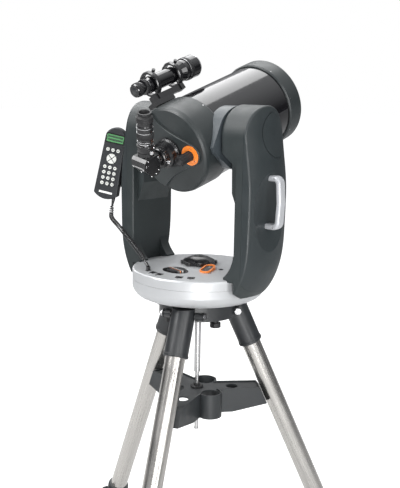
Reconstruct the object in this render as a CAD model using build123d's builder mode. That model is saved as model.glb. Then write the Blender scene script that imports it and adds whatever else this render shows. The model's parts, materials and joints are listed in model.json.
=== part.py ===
"""Computerised fork-mounted Schmidt-Cassegrain telescope on a tripod, in millimetres, +Z up.

The origin is on the floor, under the middle of the box round the whole telescope.
The tube points towards +Y, and the altitude axis lies along X.
"""
from build123d import *
import math
import os

os.makedirs("parts", exist_ok=True)

# ---------------------------------------------------------------- driving dimensions
# Tripod
BASE_TOP = 928.0          # rim of the drive base above the floor, legs shortened
HEAD_TOP = BASE_TOP - 78
HEAD_HEIGHT = 45.0
HEAD_RADIUS = 104.0
LEG_AZIMUTHS = {"a": -71.0, "b": 49.0, "c": 169.0}
LEG_SPREAD = 24.0         # leg axis from the vertical, degrees
LEG_AXIS_RADIUS = 107.0   # leg axis from the centre, at the height of the leg root
LEG_ROOT = BASE_TOP - 123.5
PIVOT_RADIUS = 97.0
PIVOT_HEIGHT = BASE_TOP - 108
LEG_TUBE_RADIUS = 25.4
LEG_TUBE_WALL = 1.9
INNER_TUBE_RADIUS = 19.05
INNER_TUBE_WALL = 1.6
SOCKET_RADIUS = 31.0
SOCKET_END = 92.0         # distances along the leg, from its root
LEG_TUBE_END = 760.0
INNER_TUBE_START = 330.0
BOOT_RADIUS = 27.0
TRAY_DECK = BASE_TOP - 334
TRAY_DEPTH = 66.0
TRAY_EYEPIECE_HOLE = 16.1
ROD_RADIUS = 5.35

# Drive base and fork
BASE_RADIUS = 175.0
BASE_FOOT_RADIUS = 148.0  # where the flank of the base meets its underside
BASE_WALL = 4.0
SEAM_DROP = 26.0
BASE_BOTTOM = BASE_TOP - 74
HUB_RADIUS = 50.0
RUNNING_GAP = 0.05
ARM_INNER = 174.0
ARM_REAR = -74.0
ARM_FRONT = 77.0
ARM_TOP = 427.0           # above the base rim
ARM_BOTTOM = -47.0
ARM_PARTING = 198.0       # where the outer cover meets the frame
ARM_CROWN_AXIS = 24.0     # the outer face is turned about this line
KNUCKLE_INNER = 124.0
ALTITUDE_HEIGHT = BASE_TOP + 344

# Telescope tube: distances along its axis are measured from the altitude axis
TUBE_TILT = 17.5
TUBE_RADIUS = 110.5
TUBE_WALL = 1.6
APERTURE_RADIUS = 101.6
FRONT_RIM = 287.0
FRONT_CELL_REAR = 236.0
FRONT_CELL_RADIUS = 116.0
REAR_CELL_RADIUS = 114.0
REAR_CELL_FRONT = -31.0
REAR_FACE = -116.0
FOCUSER_X, FOCUSER_UP = 68.0, -4.0
DIAGONAL_AT = -208.0
EYEPIECE_LEAN = 14.0
FINDER_RADIUS_FROM_AXIS = 175.0
FINDER_LEAN = -31.0
ALTITUDE_SHAFT_RADIUS = 15.0

# ---------------------------------------------------------------- where the axes are
foot_radius = LEG_AXIS_RADIUS + LEG_ROOT * math.tan(math.radians(LEG_SPREAD))
foot_x = [foot_radius * math.cos(math.radians(a)) for a in LEG_AZIMUTHS.values()]
foot_y = [foot_radius * math.sin(math.radians(a)) for a in LEG_AZIMUTHS.values()]
AZIMUTH_X = -(min(foot_x) + max(foot_x)) / 2
AZIMUTH_Y = -(min(foot_y) + max(foot_y)) / 2
PIVOT = Vector(AZIMUTH_X, AZIMUTH_Y, ALTITUDE_HEIGHT)
TILT = math.radians(TUBE_TILT)
TUBE_DIRECTION = Vector(0, math.cos(TILT), math.sin(TILT))
TUBE_UP = Vector(0, -math.sin(TILT), math.cos(TILT))
AZIMUTH_AXIS = Axis((AZIMUTH_X, AZIMUTH_Y, 0), (0, 0, 1))
TUBE_AXIS = Axis(PIVOT, TUBE_DIRECTION)


def level(z):
    """A horizontal plane at a height, centred on the azimuth axis."""
    return Plane(origin=(AZIMUTH_X, AZIMUTH_Y, z))


def rear_view(y=0.0):
    """Local x is +X and local y is the height, seen from behind the telescope."""
    return Plane(origin=(AZIMUTH_X, AZIMUTH_Y + y, 0), x_dir=(1, 0, 0), z_dir=(0, -1, 0))


def side_view(x=0.0):
    """Local x is +Y and local y is the height, seen from the right of the telescope."""
    return Plane(origin=(AZIMUTH_X + x, AZIMUTH_Y, 0), x_dir=(0, 1, 0), z_dir=(1, 0, 0))


def across_tube(s):
    """The plane square to the tube at a distance along it; its normal points backwards."""
    return Plane(origin=PIVOT + TUBE_DIRECTION * s, x_dir=(1, 0, 0), z_dir=-TUBE_DIRECTION)


def along_tube(x=0.0):
    """Local x runs along the tube and local y is the tube's up."""
    return Plane(origin=PIVOT + Vector(x, 0, 0), x_dir=TUBE_DIRECTION, z_dir=(1, 0, 0))


MIDDLE = Plane(origin=(AZIMUTH_X, 0, 0), z_dir=(1, 0, 0))


def save(piece, name):
    """Label a finished piece and write it as its node."""
    piece.label = name
    export_step(piece, f"parts/{name}.step")
    return piece


# ================================================================ TRIPOD
def outward(azimuth):
    """The horizontal direction of one leg."""
    return Vector(math.cos(math.radians(azimuth)), math.sin(math.radians(azimuth)), 0)


def sideways(azimuth):
    """The horizontal direction square to one leg."""
    return Vector(-math.sin(math.radians(azimuth)), math.cos(math.radians(azimuth)), 0)


def radial(azimuth, r):
    """A plane across one leg: local x runs sideways, local y up, normal outwards."""
    origin = Vector(AZIMUTH_X, AZIMUTH_Y, 0) + outward(azimuth) * r
    return Plane(origin=origin, x_dir=sideways(azimuth), z_dir=outward(azimuth))


def leg_plane(azimuth, distance):
    """A plane square to a leg, at a distance along it from its root, normal down the leg."""
    spread = math.radians(LEG_SPREAD)
    down = outward(azimuth) * math.sin(spread) - Vector(0, 0, math.cos(spread))
    root = Vector(AZIMUTH_X, AZIMUTH_Y, LEG_ROOT) + outward(azimuth) * LEG_AXIS_RADIUS
    return Plane(origin=root + down * distance, x_dir=sideways(azimuth), z_dir=down)


def leg_profile(azimuth):
    """A plane through a leg's axis: local x is the distance along the leg, local y sideways."""
    across = leg_plane(azimuth, 0)
    return Plane(origin=across.origin, x_dir=across.z_dir, z_dir=across.z_dir.cross(sideways(azimuth)))


def leg_axis(azimuth):
    across = leg_plane(azimuth, 0)
    return Axis(across.origin, across.z_dir)


def pivot_plane(azimuth, across):
    """The plane square to a leg's pivot bolt, at a distance along the bolt."""
    centre = Vector(AZIMUTH_X, AZIMUTH_Y, PIVOT_HEIGHT) + outward(azimuth) * PIVOT_RADIUS
    return Plane(origin=centre + sideways(azimuth) * across, x_dir=outward(azimuth),
                 z_dir=sideways(azimuth))


HEAD_BOTTOM = HEAD_TOP - HEAD_HEIGHT
HEAD_ROOF = 8.0
SLOT_WIDTH = 2 * SOCKET_RADIUS + 1.6
SLOT_FLOOR = 50.0
BOLT_RADIUS = 5.0
BOLT_HALF = 55.0
KNOB_CIRCLE = 74.0
BETWEEN_LEGS = [Location((0, 0, 0), (0, 0, azimuth + 60)) for azimuth in LEG_AZIMUTHS.values()]

with BuildPart() as tripod_head:
    with BuildSketch(level(HEAD_BOTTOM)):
        Circle(HEAD_RADIUS)
    extrude(amount=HEAD_HEIGHT)
    fillet(tripod_head.edges().filter_by(GeomType.CIRCLE).sort_by(Axis.Z)[-1], 4)
    for azimuth in LEG_AZIMUTHS.values():
        # the slot that a leg socket turns in, under the roof of the head
        with BuildSketch(radial(azimuth, SLOT_FLOOR)):
            with Locations((0, HEAD_BOTTOM + (HEAD_HEIGHT - HEAD_ROOF) / 2)):
                Rectangle(SLOT_WIDTH, HEAD_HEIGHT - HEAD_ROOF)
        extrude(amount=HEAD_RADIUS, mode=Mode.SUBTRACT)
        with BuildSketch(pivot_plane(azimuth, -60)):
            Circle(BOLT_RADIUS)
        extrude(amount=120, mode=Mode.SUBTRACT)
    # the pockets between the legs that lighten the casting
    with BuildSketch(level(HEAD_BOTTOM)):
        with Locations(BETWEEN_LEGS):
            with Locations((KNOB_CIRCLE, 0)):
                RectangleRounded(40, 34, 8)
    extrude(amount=HEAD_HEIGHT - HEAD_ROOF, mode=Mode.SUBTRACT)
    with BuildSketch(level(HEAD_TOP)):
        Circle(8.5)
        with Locations(BETWEEN_LEGS):
            with Locations((KNOB_CIRCLE, 0)):
                Circle(5.2)
    extrude(amount=-HEAD_HEIGHT, mode=Mode.SUBTRACT)
save(tripod_head.part, "tripod_head")

with BuildPart() as leg_pivot_bolts:
    for azimuth in LEG_AZIMUTHS.values():
        with BuildSketch(pivot_plane(azimuth, -BOLT_HALF)):
            Circle(BOLT_RADIUS)
        extrude(amount=2 * BOLT_HALF)
        for side in (-1, 1):
            with BuildSketch(pivot_plane(azimuth, side * BOLT_HALF)):
                RegularPolygon(9, 6)
            extrude(amount=side * 7)
save(leg_pivot_bolts.part, "leg_pivot_bolts")

with BuildPart() as mount_knobs:
    with BuildSketch(level(HEAD_BOTTOM - 6)):
        with Locations(BETWEEN_LEGS):
            with Locations((KNOB_CIRCLE, 0)):
                Circle(5.0)
    extrude(amount=HEAD_HEIGHT + 14)
    with BuildSketch(level(HEAD_BOTTOM - 26)):
        with Locations(BETWEEN_LEGS):
            with Locations((KNOB_CIRCLE, 0)):
                Circle(8)
    extrude(amount=22)
    with BuildSketch(level(HEAD_BOTTOM - 24)):
        with Locations(BETWEEN_LEGS):
            with Locations((KNOB_CIRCLE, 0)):
                RegularPolygon(14.5, 8)
    extrude(amount=12)
    fillet(mount_knobs.edges().filter_by(Axis.Z).filter_by(lambda e: abs(e.length - 12) < 0.1), 3)
save(mount_knobs.part, "mount_knobs")

with BuildPart() as center_rod:
    with BuildSketch(level(HEAD_TOP - 1)):
        Circle(8.5)
    extrude(amount=BASE_TOP - 289 - (HEAD_TOP - 1))
    with BuildSketch(level(BASE_TOP - 289)):
        Circle(ROD_RADIUS)
    extrude(amount=-160)
    with BuildSketch(level(BASE_TOP - 449)):
        Circle(6.5)
    extrude(amount=-4)
save(center_rod.part, "center_rod")

BASE_PLATE_TOP = HEAD_TOP + 10
HUB_TOP = BASE_TOP - 22
with BuildPart() as mount_plate:
    with BuildSketch(level(HEAD_TOP)):
        Circle(135)
    extrude(amount=BASE_PLATE_TOP - HEAD_TOP)
    fillet(mount_plate.edges().filter_by(GeomType.CIRCLE).sort_by(Axis.Z)[0], 2)
    with BuildSketch(level(BASE_PLATE_TOP)):
        Circle(HUB_RADIUS)
    extrude(amount=HUB_TOP - BASE_PLATE_TOP)
    with BuildSketch(level(HEAD_TOP)):
        Circle(30)
    extrude(amount=HUB_TOP - HEAD_TOP - 8, mode=Mode.SUBTRACT)
    with BuildSketch(level(HEAD_TOP)):
        with Locations(BETWEEN_LEGS):
            with Locations((KNOB_CIRCLE, 0)):
                Circle(5.0)
    extrude(amount=BASE_PLATE_TOP - HEAD_TOP, mode=Mode.SUBTRACT)
save(mount_plate.part, "mount_plate")

AZIMUTH_WHEEL_RADIUS = 80.0
AZIMUTH_WHEEL_Z = BASE_TOP - 44
with BuildPart() as azimuth_wheel:
    with BuildSketch(level(AZIMUTH_WHEEL_Z)):
        Circle(AZIMUTH_WHEEL_RADIUS)
        Circle(HUB_RADIUS, mode=Mode.SUBTRACT)
    extrude(amount=10)
save(azimuth_wheel.part, "azimuth_wheel")

CLAMP_AT = 740.0
CLAMP_END = 772.0
for leg, azimuth in LEG_AZIMUTHS.items():
    with BuildPart() as leg_socket:
        with BuildSketch(leg_profile(azimuth)):
            with Locations(((SOCKET_END - 55) / 2, SOCKET_RADIUS / 2)):
                Rectangle(SOCKET_END + 55, SOCKET_RADIUS)
        revolve(axis=leg_axis(azimuth))
        fillet(leg_socket.edges().filter_by(GeomType.CIRCLE).sort_by(Axis.Z)[0], 2.5)
        split(bisect_by=level(HEAD_TOP - HEAD_ROOF - 3), keep=Keep.BOTTOM)
        with BuildSketch(leg_plane(azimuth, -8)):
            Circle(LEG_TUBE_RADIUS)
        extrude(amount=SOCKET_END + 20, mode=Mode.SUBTRACT)
        with BuildSketch(pivot_plane(azimuth, -60)):
            Circle(BOLT_RADIUS + RUNNING_GAP)
        extrude(amount=120, mode=Mode.SUBTRACT)
    save(leg_socket.part, f"leg_{leg}_socket")

    with BuildPart() as leg_tube:
        with BuildSketch(leg_plane(azimuth, -8)):
            Circle(LEG_TUBE_RADIUS)
            Circle(LEG_TUBE_RADIUS - LEG_TUBE_WALL, mode=Mode.SUBTRACT)
        extrude(amount=LEG_TUBE_END + 8)
        # the clamp collar is a second solid, on the end of the tube
        with BuildSketch(leg_profile(azimuth), mode=Mode.PRIVATE) as collar_outline:
            with BuildLine():
                Polyline((CLAMP_AT - 26, LEG_TUBE_RADIUS), (CLAMP_AT - 26, 29), (CLAMP_AT - 22, 31.5),
                         (CLAMP_END - 4, 31.5), (CLAMP_END, 28), (CLAMP_END, INNER_TUBE_RADIUS + RUNNING_GAP),
                         (LEG_TUBE_END, INNER_TUBE_RADIUS + RUNNING_GAP), (LEG_TUBE_END, LEG_TUBE_RADIUS),
                         close=True)
            make_face()
        collar = revolve(collar_outline.sketch, axis=leg_axis(azimuth), mode=Mode.PRIVATE)
    knob_axis = sideways(azimuth)
    knob_centre = leg_plane(azimuth, CLAMP_AT).origin
    with BuildPart() as clamp_collar:
        add(collar)
        with BuildSketch(Plane(origin=knob_centre + knob_axis * 26, z_dir=knob_axis)):
            Circle(4.05)
        extrude(amount=10, mode=Mode.SUBTRACT)
    save(Compound(children=[leg_tube.part, clamp_collar.part]), f"leg_{leg}_tube")

    with BuildPart() as leg_inner:
        with BuildSketch(leg_plane(azimuth, INNER_TUBE_START)):
            Circle(INNER_TUBE_RADIUS)
            Circle(INNER_TUBE_RADIUS - INNER_TUBE_WALL, mode=Mode.SUBTRACT)
        extrude(amount=845 - INNER_TUBE_START)
        with BuildSketch(leg_plane(azimuth, INNER_TUBE_START)):
            Circle(LEG_TUBE_RADIUS - LEG_TUBE_WALL - RUNNING_GAP)
            Circle(INNER_TUBE_RADIUS - INNER_TUBE_WALL, mode=Mode.SUBTRACT)
        extrude(amount=25)
    foot = Vector(AZIMUTH_X, AZIMUTH_Y, 0) + outward(azimuth) * foot_radius
    with BuildPart() as leg_boot:
        with BuildSketch(leg_profile(azimuth)):
            with BuildLine():
                Polyline((795, 0), (795, 21), (800, 23), (812, 23), (830, 24), (905, 24), (905, 0), close=True)
            make_face()
        revolve(axis=leg_axis(azimuth))
        with BuildSketch(Plane(origin=foot)):
            Circle(BOOT_RADIUS)
        extrude(amount=12)
        split(bisect_by=Plane(origin=foot), keep=Keep.TOP)
        with BuildSketch(leg_plane(azimuth, 790)):
            Circle(INNER_TUBE_RADIUS)
        extrude(amount=55, mode=Mode.SUBTRACT)
    save(Compound(children=[leg_inner.part, leg_boot.part]), f"leg_{leg}_inner")

    with BuildPart() as leg_knob:
        with BuildSketch(Plane(origin=knob_centre + knob_axis * 27, z_dir=knob_axis)):
            Circle(4.0)
        extrude(amount=10)
        with BuildSketch(Plane(origin=knob_centre + knob_axis * 33, z_dir=knob_axis)):
            Circle(13)
            with PolarLocations(13, 6):
                Circle(5)
        extrude(amount=16)
        fillet(leg_knob.faces().sort_by(Axis(knob_centre, knob_axis))[-1].edges(), 2)
    save(leg_knob.part, f"leg_{leg}_knob")

TRAY_BOTTOM = TRAY_DECK + 4 - TRAY_DEPTH
TRAY_ARM_DEPTH = 46.0
TRAY_WALL = 3.5


def tray_reach(z):
    """How far from the centre a tray arm may reach at a height without touching its leg."""
    slope = math.tan(math.radians(LEG_SPREAD))
    leg_side = LEG_TUBE_RADIUS / math.cos(math.radians(LEG_SPREAD))
    return LEG_AXIS_RADIUS + (LEG_ROOT - z) * slope - leg_side - 0.6


def tray_shape(inset, bottom, top):
    """The three-armed outline of the tray, drawn in by an inset, between two heights."""
    with BuildPart() as shape:
        with BuildSketch(level(bottom)):
            Circle(60 - inset)
            for azimuth in LEG_AZIMUTHS.values():
                with Locations(Location((0, 0, 0), (0, 0, azimuth))):
                    with Locations((110, 0)):
                        Trapezoid(2 * (35 - inset), 220, 88, rotation=-90)
            with Locations(BETWEEN_LEGS):
                with Locations((58, 0)):
                    Circle(32 - inset)
        extrude(amount=top - bottom)
        # each arm ends on a slope that lies along its leg, and rises towards its end underneath
        with BuildSketch(rear_view()):
            with BuildLine():
                Polyline((tray_reach(bottom) - inset, bottom), (300, bottom), (300, top),
                         (tray_reach(top) - inset, top), close=True)
            make_face()
        revolve(axis=AZIMUTH_AXIS, mode=Mode.SUBTRACT)
        with BuildSketch(rear_view()):
            with BuildLine():
                Polyline((95, TRAY_BOTTOM - 1), (235, TRAY_BOTTOM - 1),
                         (235, TRAY_BOTTOM + 1.4 * (TRAY_DEPTH - TRAY_ARM_DEPTH)), close=True)
            make_face()
        revolve(axis=AZIMUTH_AXIS, mode=Mode.SUBTRACT)
    return shape.part


with BuildPart() as accessory_tray:
    add(tray_shape(0, TRAY_BOTTOM, TRAY_BOTTOM + TRAY_DEPTH))
    add(tray_shape(TRAY_WALL, TRAY_BOTTOM, TRAY_BOTTOM + TRAY_DEPTH - 8), mode=Mode.SUBTRACT)
    add(tray_shape(TRAY_WALL, TRAY_BOTTOM + TRAY_DEPTH - 4, TRAY_BOTTOM + TRAY_DEPTH), mode=Mode.SUBTRACT)
    with BuildSketch(level(TRAY_BOTTOM - 4)):
        Circle(15)
    extrude(amount=TRAY_DEPTH - 2)
    with BuildSketch(level(TRAY_BOTTOM - 4)):
        Circle(ROD_RADIUS + 0.1)
        with Locations(BETWEEN_LEGS):
            with Locations((60, 0)):
                Circle(25.6)
        for azimuth in LEG_AZIMUTHS.values():
            with Locations(Location((0, 0, 0), (0, 0, azimuth))):
                with Locations((96, 0)):
                    Circle(TRAY_EYEPIECE_HOLE)
    extrude(amount=TRAY_DEPTH + 8, mode=Mode.SUBTRACT)
save(accessory_tray.part, "accessory_tray")

TRAY_KNOB_TOP = TRAY_BOTTOM - 4
with BuildPart() as tray_knob:
    with BuildSketch(level(TRAY_KNOB_TOP)):
        Circle(16)
        with PolarLocations(15, 5):
            Circle(6)
        Circle(ROD_RADIUS + 0.1, mode=Mode.SUBTRACT)
    extrude(amount=-15)
save(tray_knob.part, "tray_knob")

# ================================================================ DRIVE BASE
LOCK_SHAFT_RADIUS = 6.0
PORT_CIRCLE = 146.0
PORT_AZIMUTHS = (-111.0, -101.0, -91.0, -68.0, -56.0)
PORT_SIZE = (15.0, 12.0)
JACK_PLACE = (84.0, -10.0)
SWITCH_PLACE = (65.0, -40.0)
SWITCH_TURN = 109.0
CROWN = 9.0


def crown_height(r):
    """How far the crowned top of the base stands above its rim at a radius."""
    return CROWN * (1 - (r / (BASE_RADIUS - 5)) ** 2)


with BuildPart() as base_upper_cover:
    with BuildSketch(rear_view()):
        with BuildLine():
            rim = Polyline((BASE_RADIUS - BASE_WALL, BASE_TOP - SEAM_DROP),
                           (BASE_RADIUS, BASE_TOP - SEAM_DROP), (BASE_RADIUS, BASE_TOP - 5))
            shoulder = ThreePointArc(rim @ 1, (BASE_RADIUS - 1.5, BASE_TOP - 1.5),
                                     (BASE_RADIUS - 5, BASE_TOP))
            top = ThreePointArc(shoulder @ 1, (90, BASE_TOP + crown_height(90)), (0, BASE_TOP + CROWN))
            Line(top @ 1, (0, BASE_TOP + CROWN - BASE_WALL))
            under = ThreePointArc((0, BASE_TOP + CROWN - BASE_WALL),
                                  (90, BASE_TOP + crown_height(90) - BASE_WALL),
                                  (BASE_RADIUS - 6, BASE_TOP - BASE_WALL))
            Polyline(under @ 1, (BASE_RADIUS - BASE_WALL, BASE_TOP - 7), rim @ 0)
        make_face()
    revolve(axis=AZIMUTH_AXIS)
    with BuildSketch(level(BASE_TOP + 20)):
        Circle(LOCK_SHAFT_RADIUS + RUNNING_GAP)
        with Locations([Location((0, 0, 0), (0, 0, a)) for a in PORT_AZIMUTHS]):
            with Locations((PORT_CIRCLE, 0)):
                Rectangle(PORT_SIZE[1], PORT_SIZE[0])
        with Locations(JACK_PLACE):
            Circle(6)
        with Locations(Location((*SWITCH_PLACE, 0), (0, 0, SWITCH_TURN))):
            SlotOverall(52, 22)
    extrude(amount=-60, mode=Mode.SUBTRACT)
save(base_upper_cover.part, "base_upper_cover")

with BuildPart() as base_lower_cover:
    with BuildSketch(rear_view()):
        with BuildLine():
            side = Line((BASE_RADIUS, BASE_TOP - SEAM_DROP - 0.6), (BASE_RADIUS, BASE_TOP - 46))
            flank = ThreePointArc(side @ 1, (BASE_RADIUS - 7, BASE_TOP - 62), (BASE_FOOT_RADIUS, BASE_BOTTOM))
            Polyline(flank @ 1, (138, BASE_BOTTOM), (138, BASE_TOP - 66),
                     (HUB_RADIUS + RUNNING_GAP, BASE_TOP - 66), (HUB_RADIUS + RUNNING_GAP, BASE_TOP - 50),
                     (57, BASE_TOP - 50), (57, BASE_TOP - 61), (BASE_RADIUS - 14, BASE_TOP - 61),
                     (BASE_RADIUS - BASE_WALL, BASE_TOP - 46),
                     (BASE_RADIUS - BASE_WALL, BASE_TOP - SEAM_DROP - 0.6), side @ 0)
        make_face()
    revolve(axis=AZIMUTH_AXIS)
save(base_lower_cover.part, "base_lower_cover")

with BuildPart() as port_sockets:
    with BuildSketch(level(BASE_TOP - 14)):
        with Locations([Location((0, 0, 0), (0, 0, a)) for a in PORT_AZIMUTHS]):
            with Locations((PORT_CIRCLE, 0)):
                Rectangle(PORT_SIZE[1], PORT_SIZE[0])
    extrude(amount=14 + crown_height(PORT_CIRCLE) + 0.3)
    with BuildSketch(level(BASE_TOP - 14)):
        with Locations(JACK_PLACE):
            Circle(6)
    extrude(amount=14 + crown_height(85) + 1)
    with BuildSketch(level(BASE_TOP + 10)):
        with Locations([Location((0, 0, 0), (0, 0, a)) for a in PORT_AZIMUTHS]):
            with Locations((PORT_CIRCLE, 0)):
                Rectangle(PORT_SIZE[1] - 4, PORT_SIZE[0] - 4)
        with Locations(JACK_PLACE):
            Circle(3.2)
            Circle(1.2, mode=Mode.SUBTRACT)
    extrude(amount=-20, mode=Mode.SUBTRACT)
save(port_sockets.part, "port_sockets")

# The switch stands in an oval collar that rises away from the back of the base
SWITCH_PLANE = Plane(level(BASE_TOP).location * Location((*SWITCH_PLACE, 0), (0, 0, SWITCH_TURN)))
SWITCH_SLOPE = Plane(origin=SWITCH_PLANE.origin + Vector(0, 0, 13), x_dir=SWITCH_PLANE.x_dir,
                     z_dir=(Vector(0, 0, 1) - SWITCH_PLANE.x_dir * 0.12))
with BuildPart() as switch_bezel:
    with BuildSketch(SWITCH_PLANE.offset(2)):
        SlotOverall(60, 30)
    extrude(amount=30)
    split(bisect_by=SWITCH_SLOPE, keep=Keep.BOTTOM)
    add(base_upper_cover.part, mode=Mode.SUBTRACT)
    with BuildSketch(SWITCH_PLANE.offset(-20)):
        SlotOverall(52, 22)
    extrude(amount=60, mode=Mode.SUBTRACT)
    bezel_body = switch_bezel.solids().sort_by(SortBy.VOLUME)[-1]
save(bezel_body, "switch_bezel")

with BuildPart() as power_rocker:
    with BuildSketch(SWITCH_PLANE.offset(-4)):
        SlotOverall(48.6, 18.6)
    extrude(amount=30)
    split(bisect_by=SWITCH_SLOPE.offset(-2.0), keep=Keep.BOTTOM)
    # the stubs that it rocks on
    with BuildSketch(Plane(origin=SWITCH_PLANE.origin + Vector(0, 0, 4), z_dir=SWITCH_PLANE.y_dir)):
        Circle(2)
    extrude(amount=10.3, both=True)
save(power_rocker.part, "power_rocker")

BADGE_PLACE = (6.0, -96.0)
with BuildPart() as name_badge:
    with BuildSketch(level(BASE_TOP + 2)):
        with BuildLine():
            left, right = (BADGE_PLACE[0] - 29, BADGE_PLACE[1]), (BADGE_PLACE[0] + 29, BADGE_PLACE[1])
            ThreePointArc(left, (BADGE_PLACE[0], BADGE_PLACE[1] + 24), right)
            ThreePointArc(right, (BADGE_PLACE[0], BADGE_PLACE[1] - 20), left)
        make_face()
    extrude(amount=crown_height(96) + 1.2)
    add(base_upper_cover.part, mode=Mode.SUBTRACT)
    badge_body = name_badge.solids().sort_by(Axis.Z)[-1]
save(badge_body, "name_badge")

with BuildPart() as azimuth_lock_knob:
    with BuildSketch(level(BASE_TOP + CROWN + 1)):
        Circle(43)
        with PolarLocations(39, 8):
            Circle(9.5)
    extrude(amount=7)
    with BuildSketch(rear_view()):
        with BuildLine():
            knob_side = Line((40, BASE_TOP + CROWN + 5), (40, BASE_TOP + CROWN + 9))
            dome = ThreePointArc(knob_side @ 1, (26, BASE_TOP + CROWN + 17), (8, BASE_TOP + CROWN + 21))
            Polyline(dome @ 1, (0, BASE_TOP + CROWN + 21), (0, BASE_TOP + CROWN + 5), knob_side @ 0)
        make_face()
    revolve(axis=AZIMUTH_AXIS)
    with BuildSketch(level(HUB_TOP + 3)):
        Circle(LOCK_SHAFT_RADIUS)
    extrude(amount=BASE_TOP + CROWN + 2 - HUB_TOP - 3)
save(azimuth_lock_knob.part, "azimuth_lock_knob")

# Azimuth worm and motor, under the left rear of the base
WORM_RADIUS = 8.0
MESH_GAP = 0.3
WORM_AZIMUTH = -135.0
AZIMUTH_WORM_Z = AZIMUTH_WHEEL_Z + 5
AZIMUTH_WORM_CENTRE = (Vector(AZIMUTH_X, AZIMUTH_Y, AZIMUTH_WORM_Z)
                       + outward(WORM_AZIMUTH) * (AZIMUTH_WHEEL_RADIUS + WORM_RADIUS + MESH_GAP))


def worm(centre, direction):
    """A worm on its shaft; the shaft's far end runs in the motor's gearbox."""
    with BuildPart() as piece:
        with BuildSketch(Plane(origin=centre - direction * 20, z_dir=direction)):
            Circle(WORM_RADIUS)
        extrude(amount=40)
        with BuildSketch(Plane(origin=centre - direction * 26, z_dir=direction)):
            Circle(3)
        extrude(amount=62)
    return piece.part


def motor(centre, direction, radius, length):
    """A geared motor beyond the worm, with the bore that the worm's shaft runs in."""
    with BuildPart() as piece:
        with BuildSketch(Plane(origin=centre + direction * 24, z_dir=direction)):
            Circle(radius)
            Circle(3 + RUNNING_GAP, mode=Mode.SUBTRACT)
        extrude(amount=14)
        with BuildSketch(Plane(origin=centre + direction * 38, z_dir=direction)):
            Circle(radius)
        extrude(amount=length)
    return piece.part


WHEEL_X = 188.0
ALTITUDE_WHEEL_RADIUS = 60.0
ALTITUDE_WORM_CENTRE = PIVOT + Vector(WHEEL_X, 0, -(ALTITUDE_WHEEL_RADIUS + WORM_RADIUS + MESH_GAP))
save(worm(AZIMUTH_WORM_CENTRE, sideways(WORM_AZIMUTH)), "azimuth_worm")
save(worm(ALTITUDE_WORM_CENTRE + Vector(0, -12, 0), Vector(0, 1, 0)), "altitude_worm")
save(Compound(children=[motor(AZIMUTH_WORM_CENTRE, sideways(WORM_AZIMUTH), 11.5, 45),
                        motor(ALTITUDE_WORM_CENTRE + Vector(0, -12, 0), Vector(0, 1, 0), 7.5, 26)]),
     "drive_motors")

# ================================================================ FORK ARMS
ARM_MIDDLE = (ARM_REAR + ARM_FRONT) / 2
ARM_ROUND = (ARM_FRONT - ARM_REAR) / 2


def arm_body(inset):
    """The right arm as one closed form, drawn in all round by an inset."""
    round_centre = BASE_TOP + ARM_TOP - ARM_ROUND
    rear, front = ARM_REAR + inset, ARM_FRONT - inset
    bottom = BASE_TOP + ARM_BOTTOM + inset
    with BuildPart() as body:
        with BuildSketch(side_view(100)):
            with BuildLine():
                back = Line((rear, bottom), (rear, round_centre))
                arch = ThreePointArc(back @ 1, (ARM_MIDDLE, BASE_TOP + ARM_TOP - inset), (front, round_centre))
                Line(arch @ 1, (front, BASE_TOP + 150))
                belly = Spline((front, BASE_TOP + 150), (62 - inset, BASE_TOP + 2), (20, bottom + 1),
                               tangents=((0, -1), (-1, -0.05)))
                Line(belly @ 1, back @ 0)
            make_face()
        extrude(amount=160)
        # seen from behind: straight inside, with the knuckle reaching in to the tube
        with BuildSketch(rear_view(-100)):
            with BuildLine():
                Polyline((ARM_INNER + inset, BASE_TOP - 100), (ARM_INNER + inset, BASE_TOP + 282),
                         (KNUCKLE_INNER + inset, BASE_TOP + 318), (KNUCKLE_INNER + inset, BASE_TOP + 500),
                         (280, BASE_TOP + 500), (280, BASE_TOP - 100), close=True)
            make_face()
        extrude(amount=-200, mode=Mode.INTERSECT)
        # the crowned outer face, turned about an upright line inside the fork
        with BuildSketch(rear_view()):
            with BuildLine():
                outer = Spline((176 - inset, BASE_TOP - 60), (206 - inset, BASE_TOP - 18),
                               (227 - inset, BASE_TOP + 45), (233 - inset, BASE_TOP + 140),
                               (233 - inset, BASE_TOP + 235), (224 - inset, BASE_TOP + 310),
                               (214 - inset, BASE_TOP + 440))
                Polyline(outer @ 1, (ARM_CROWN_AXIS, BASE_TOP + 440), (ARM_CROWN_AXIS, BASE_TOP - 60),
                         outer @ 0)
            make_face()
        revolve(axis=Axis((AZIMUTH_X + ARM_CROWN_AXIS, AZIMUTH_Y, 0), (0, 0, 1)), mode=Mode.INTERSECT)
    return body.part


ARM_WALL = 5.0
HANDLE_Y = 3.0
HANDLE_TOP, HANDLE_FOOT = BASE_TOP + 262, BASE_TOP + 128
RECESS_CENTRE = BASE_TOP + 172
RECESS_FLOOR = 218.0
RECESS_AXIS = 500.0


def recess(inset):
    """The scooped hollow round the carry handle, made larger by an inset."""
    half = 130 + inset
    with BuildPart() as scoop:
        with BuildSketch(rear_view()):
            with BuildLine():
                curve = ThreePointArc((240, RECESS_CENTRE + half), (RECESS_FLOOR - inset, RECESS_CENTRE),
                                      (240, RECESS_CENTRE - half))
                Polyline(curve @ 1, (RECESS_AXIS, RECESS_CENTRE - half), (RECESS_AXIS, RECESS_CENTRE + half),
                         curve @ 0)
            make_face()
        revolve(axis=Axis((AZIMUTH_X + RECESS_AXIS, AZIMUTH_Y + HANDLE_Y, 0), (0, 0, 1)))
    return scoop.part


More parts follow.
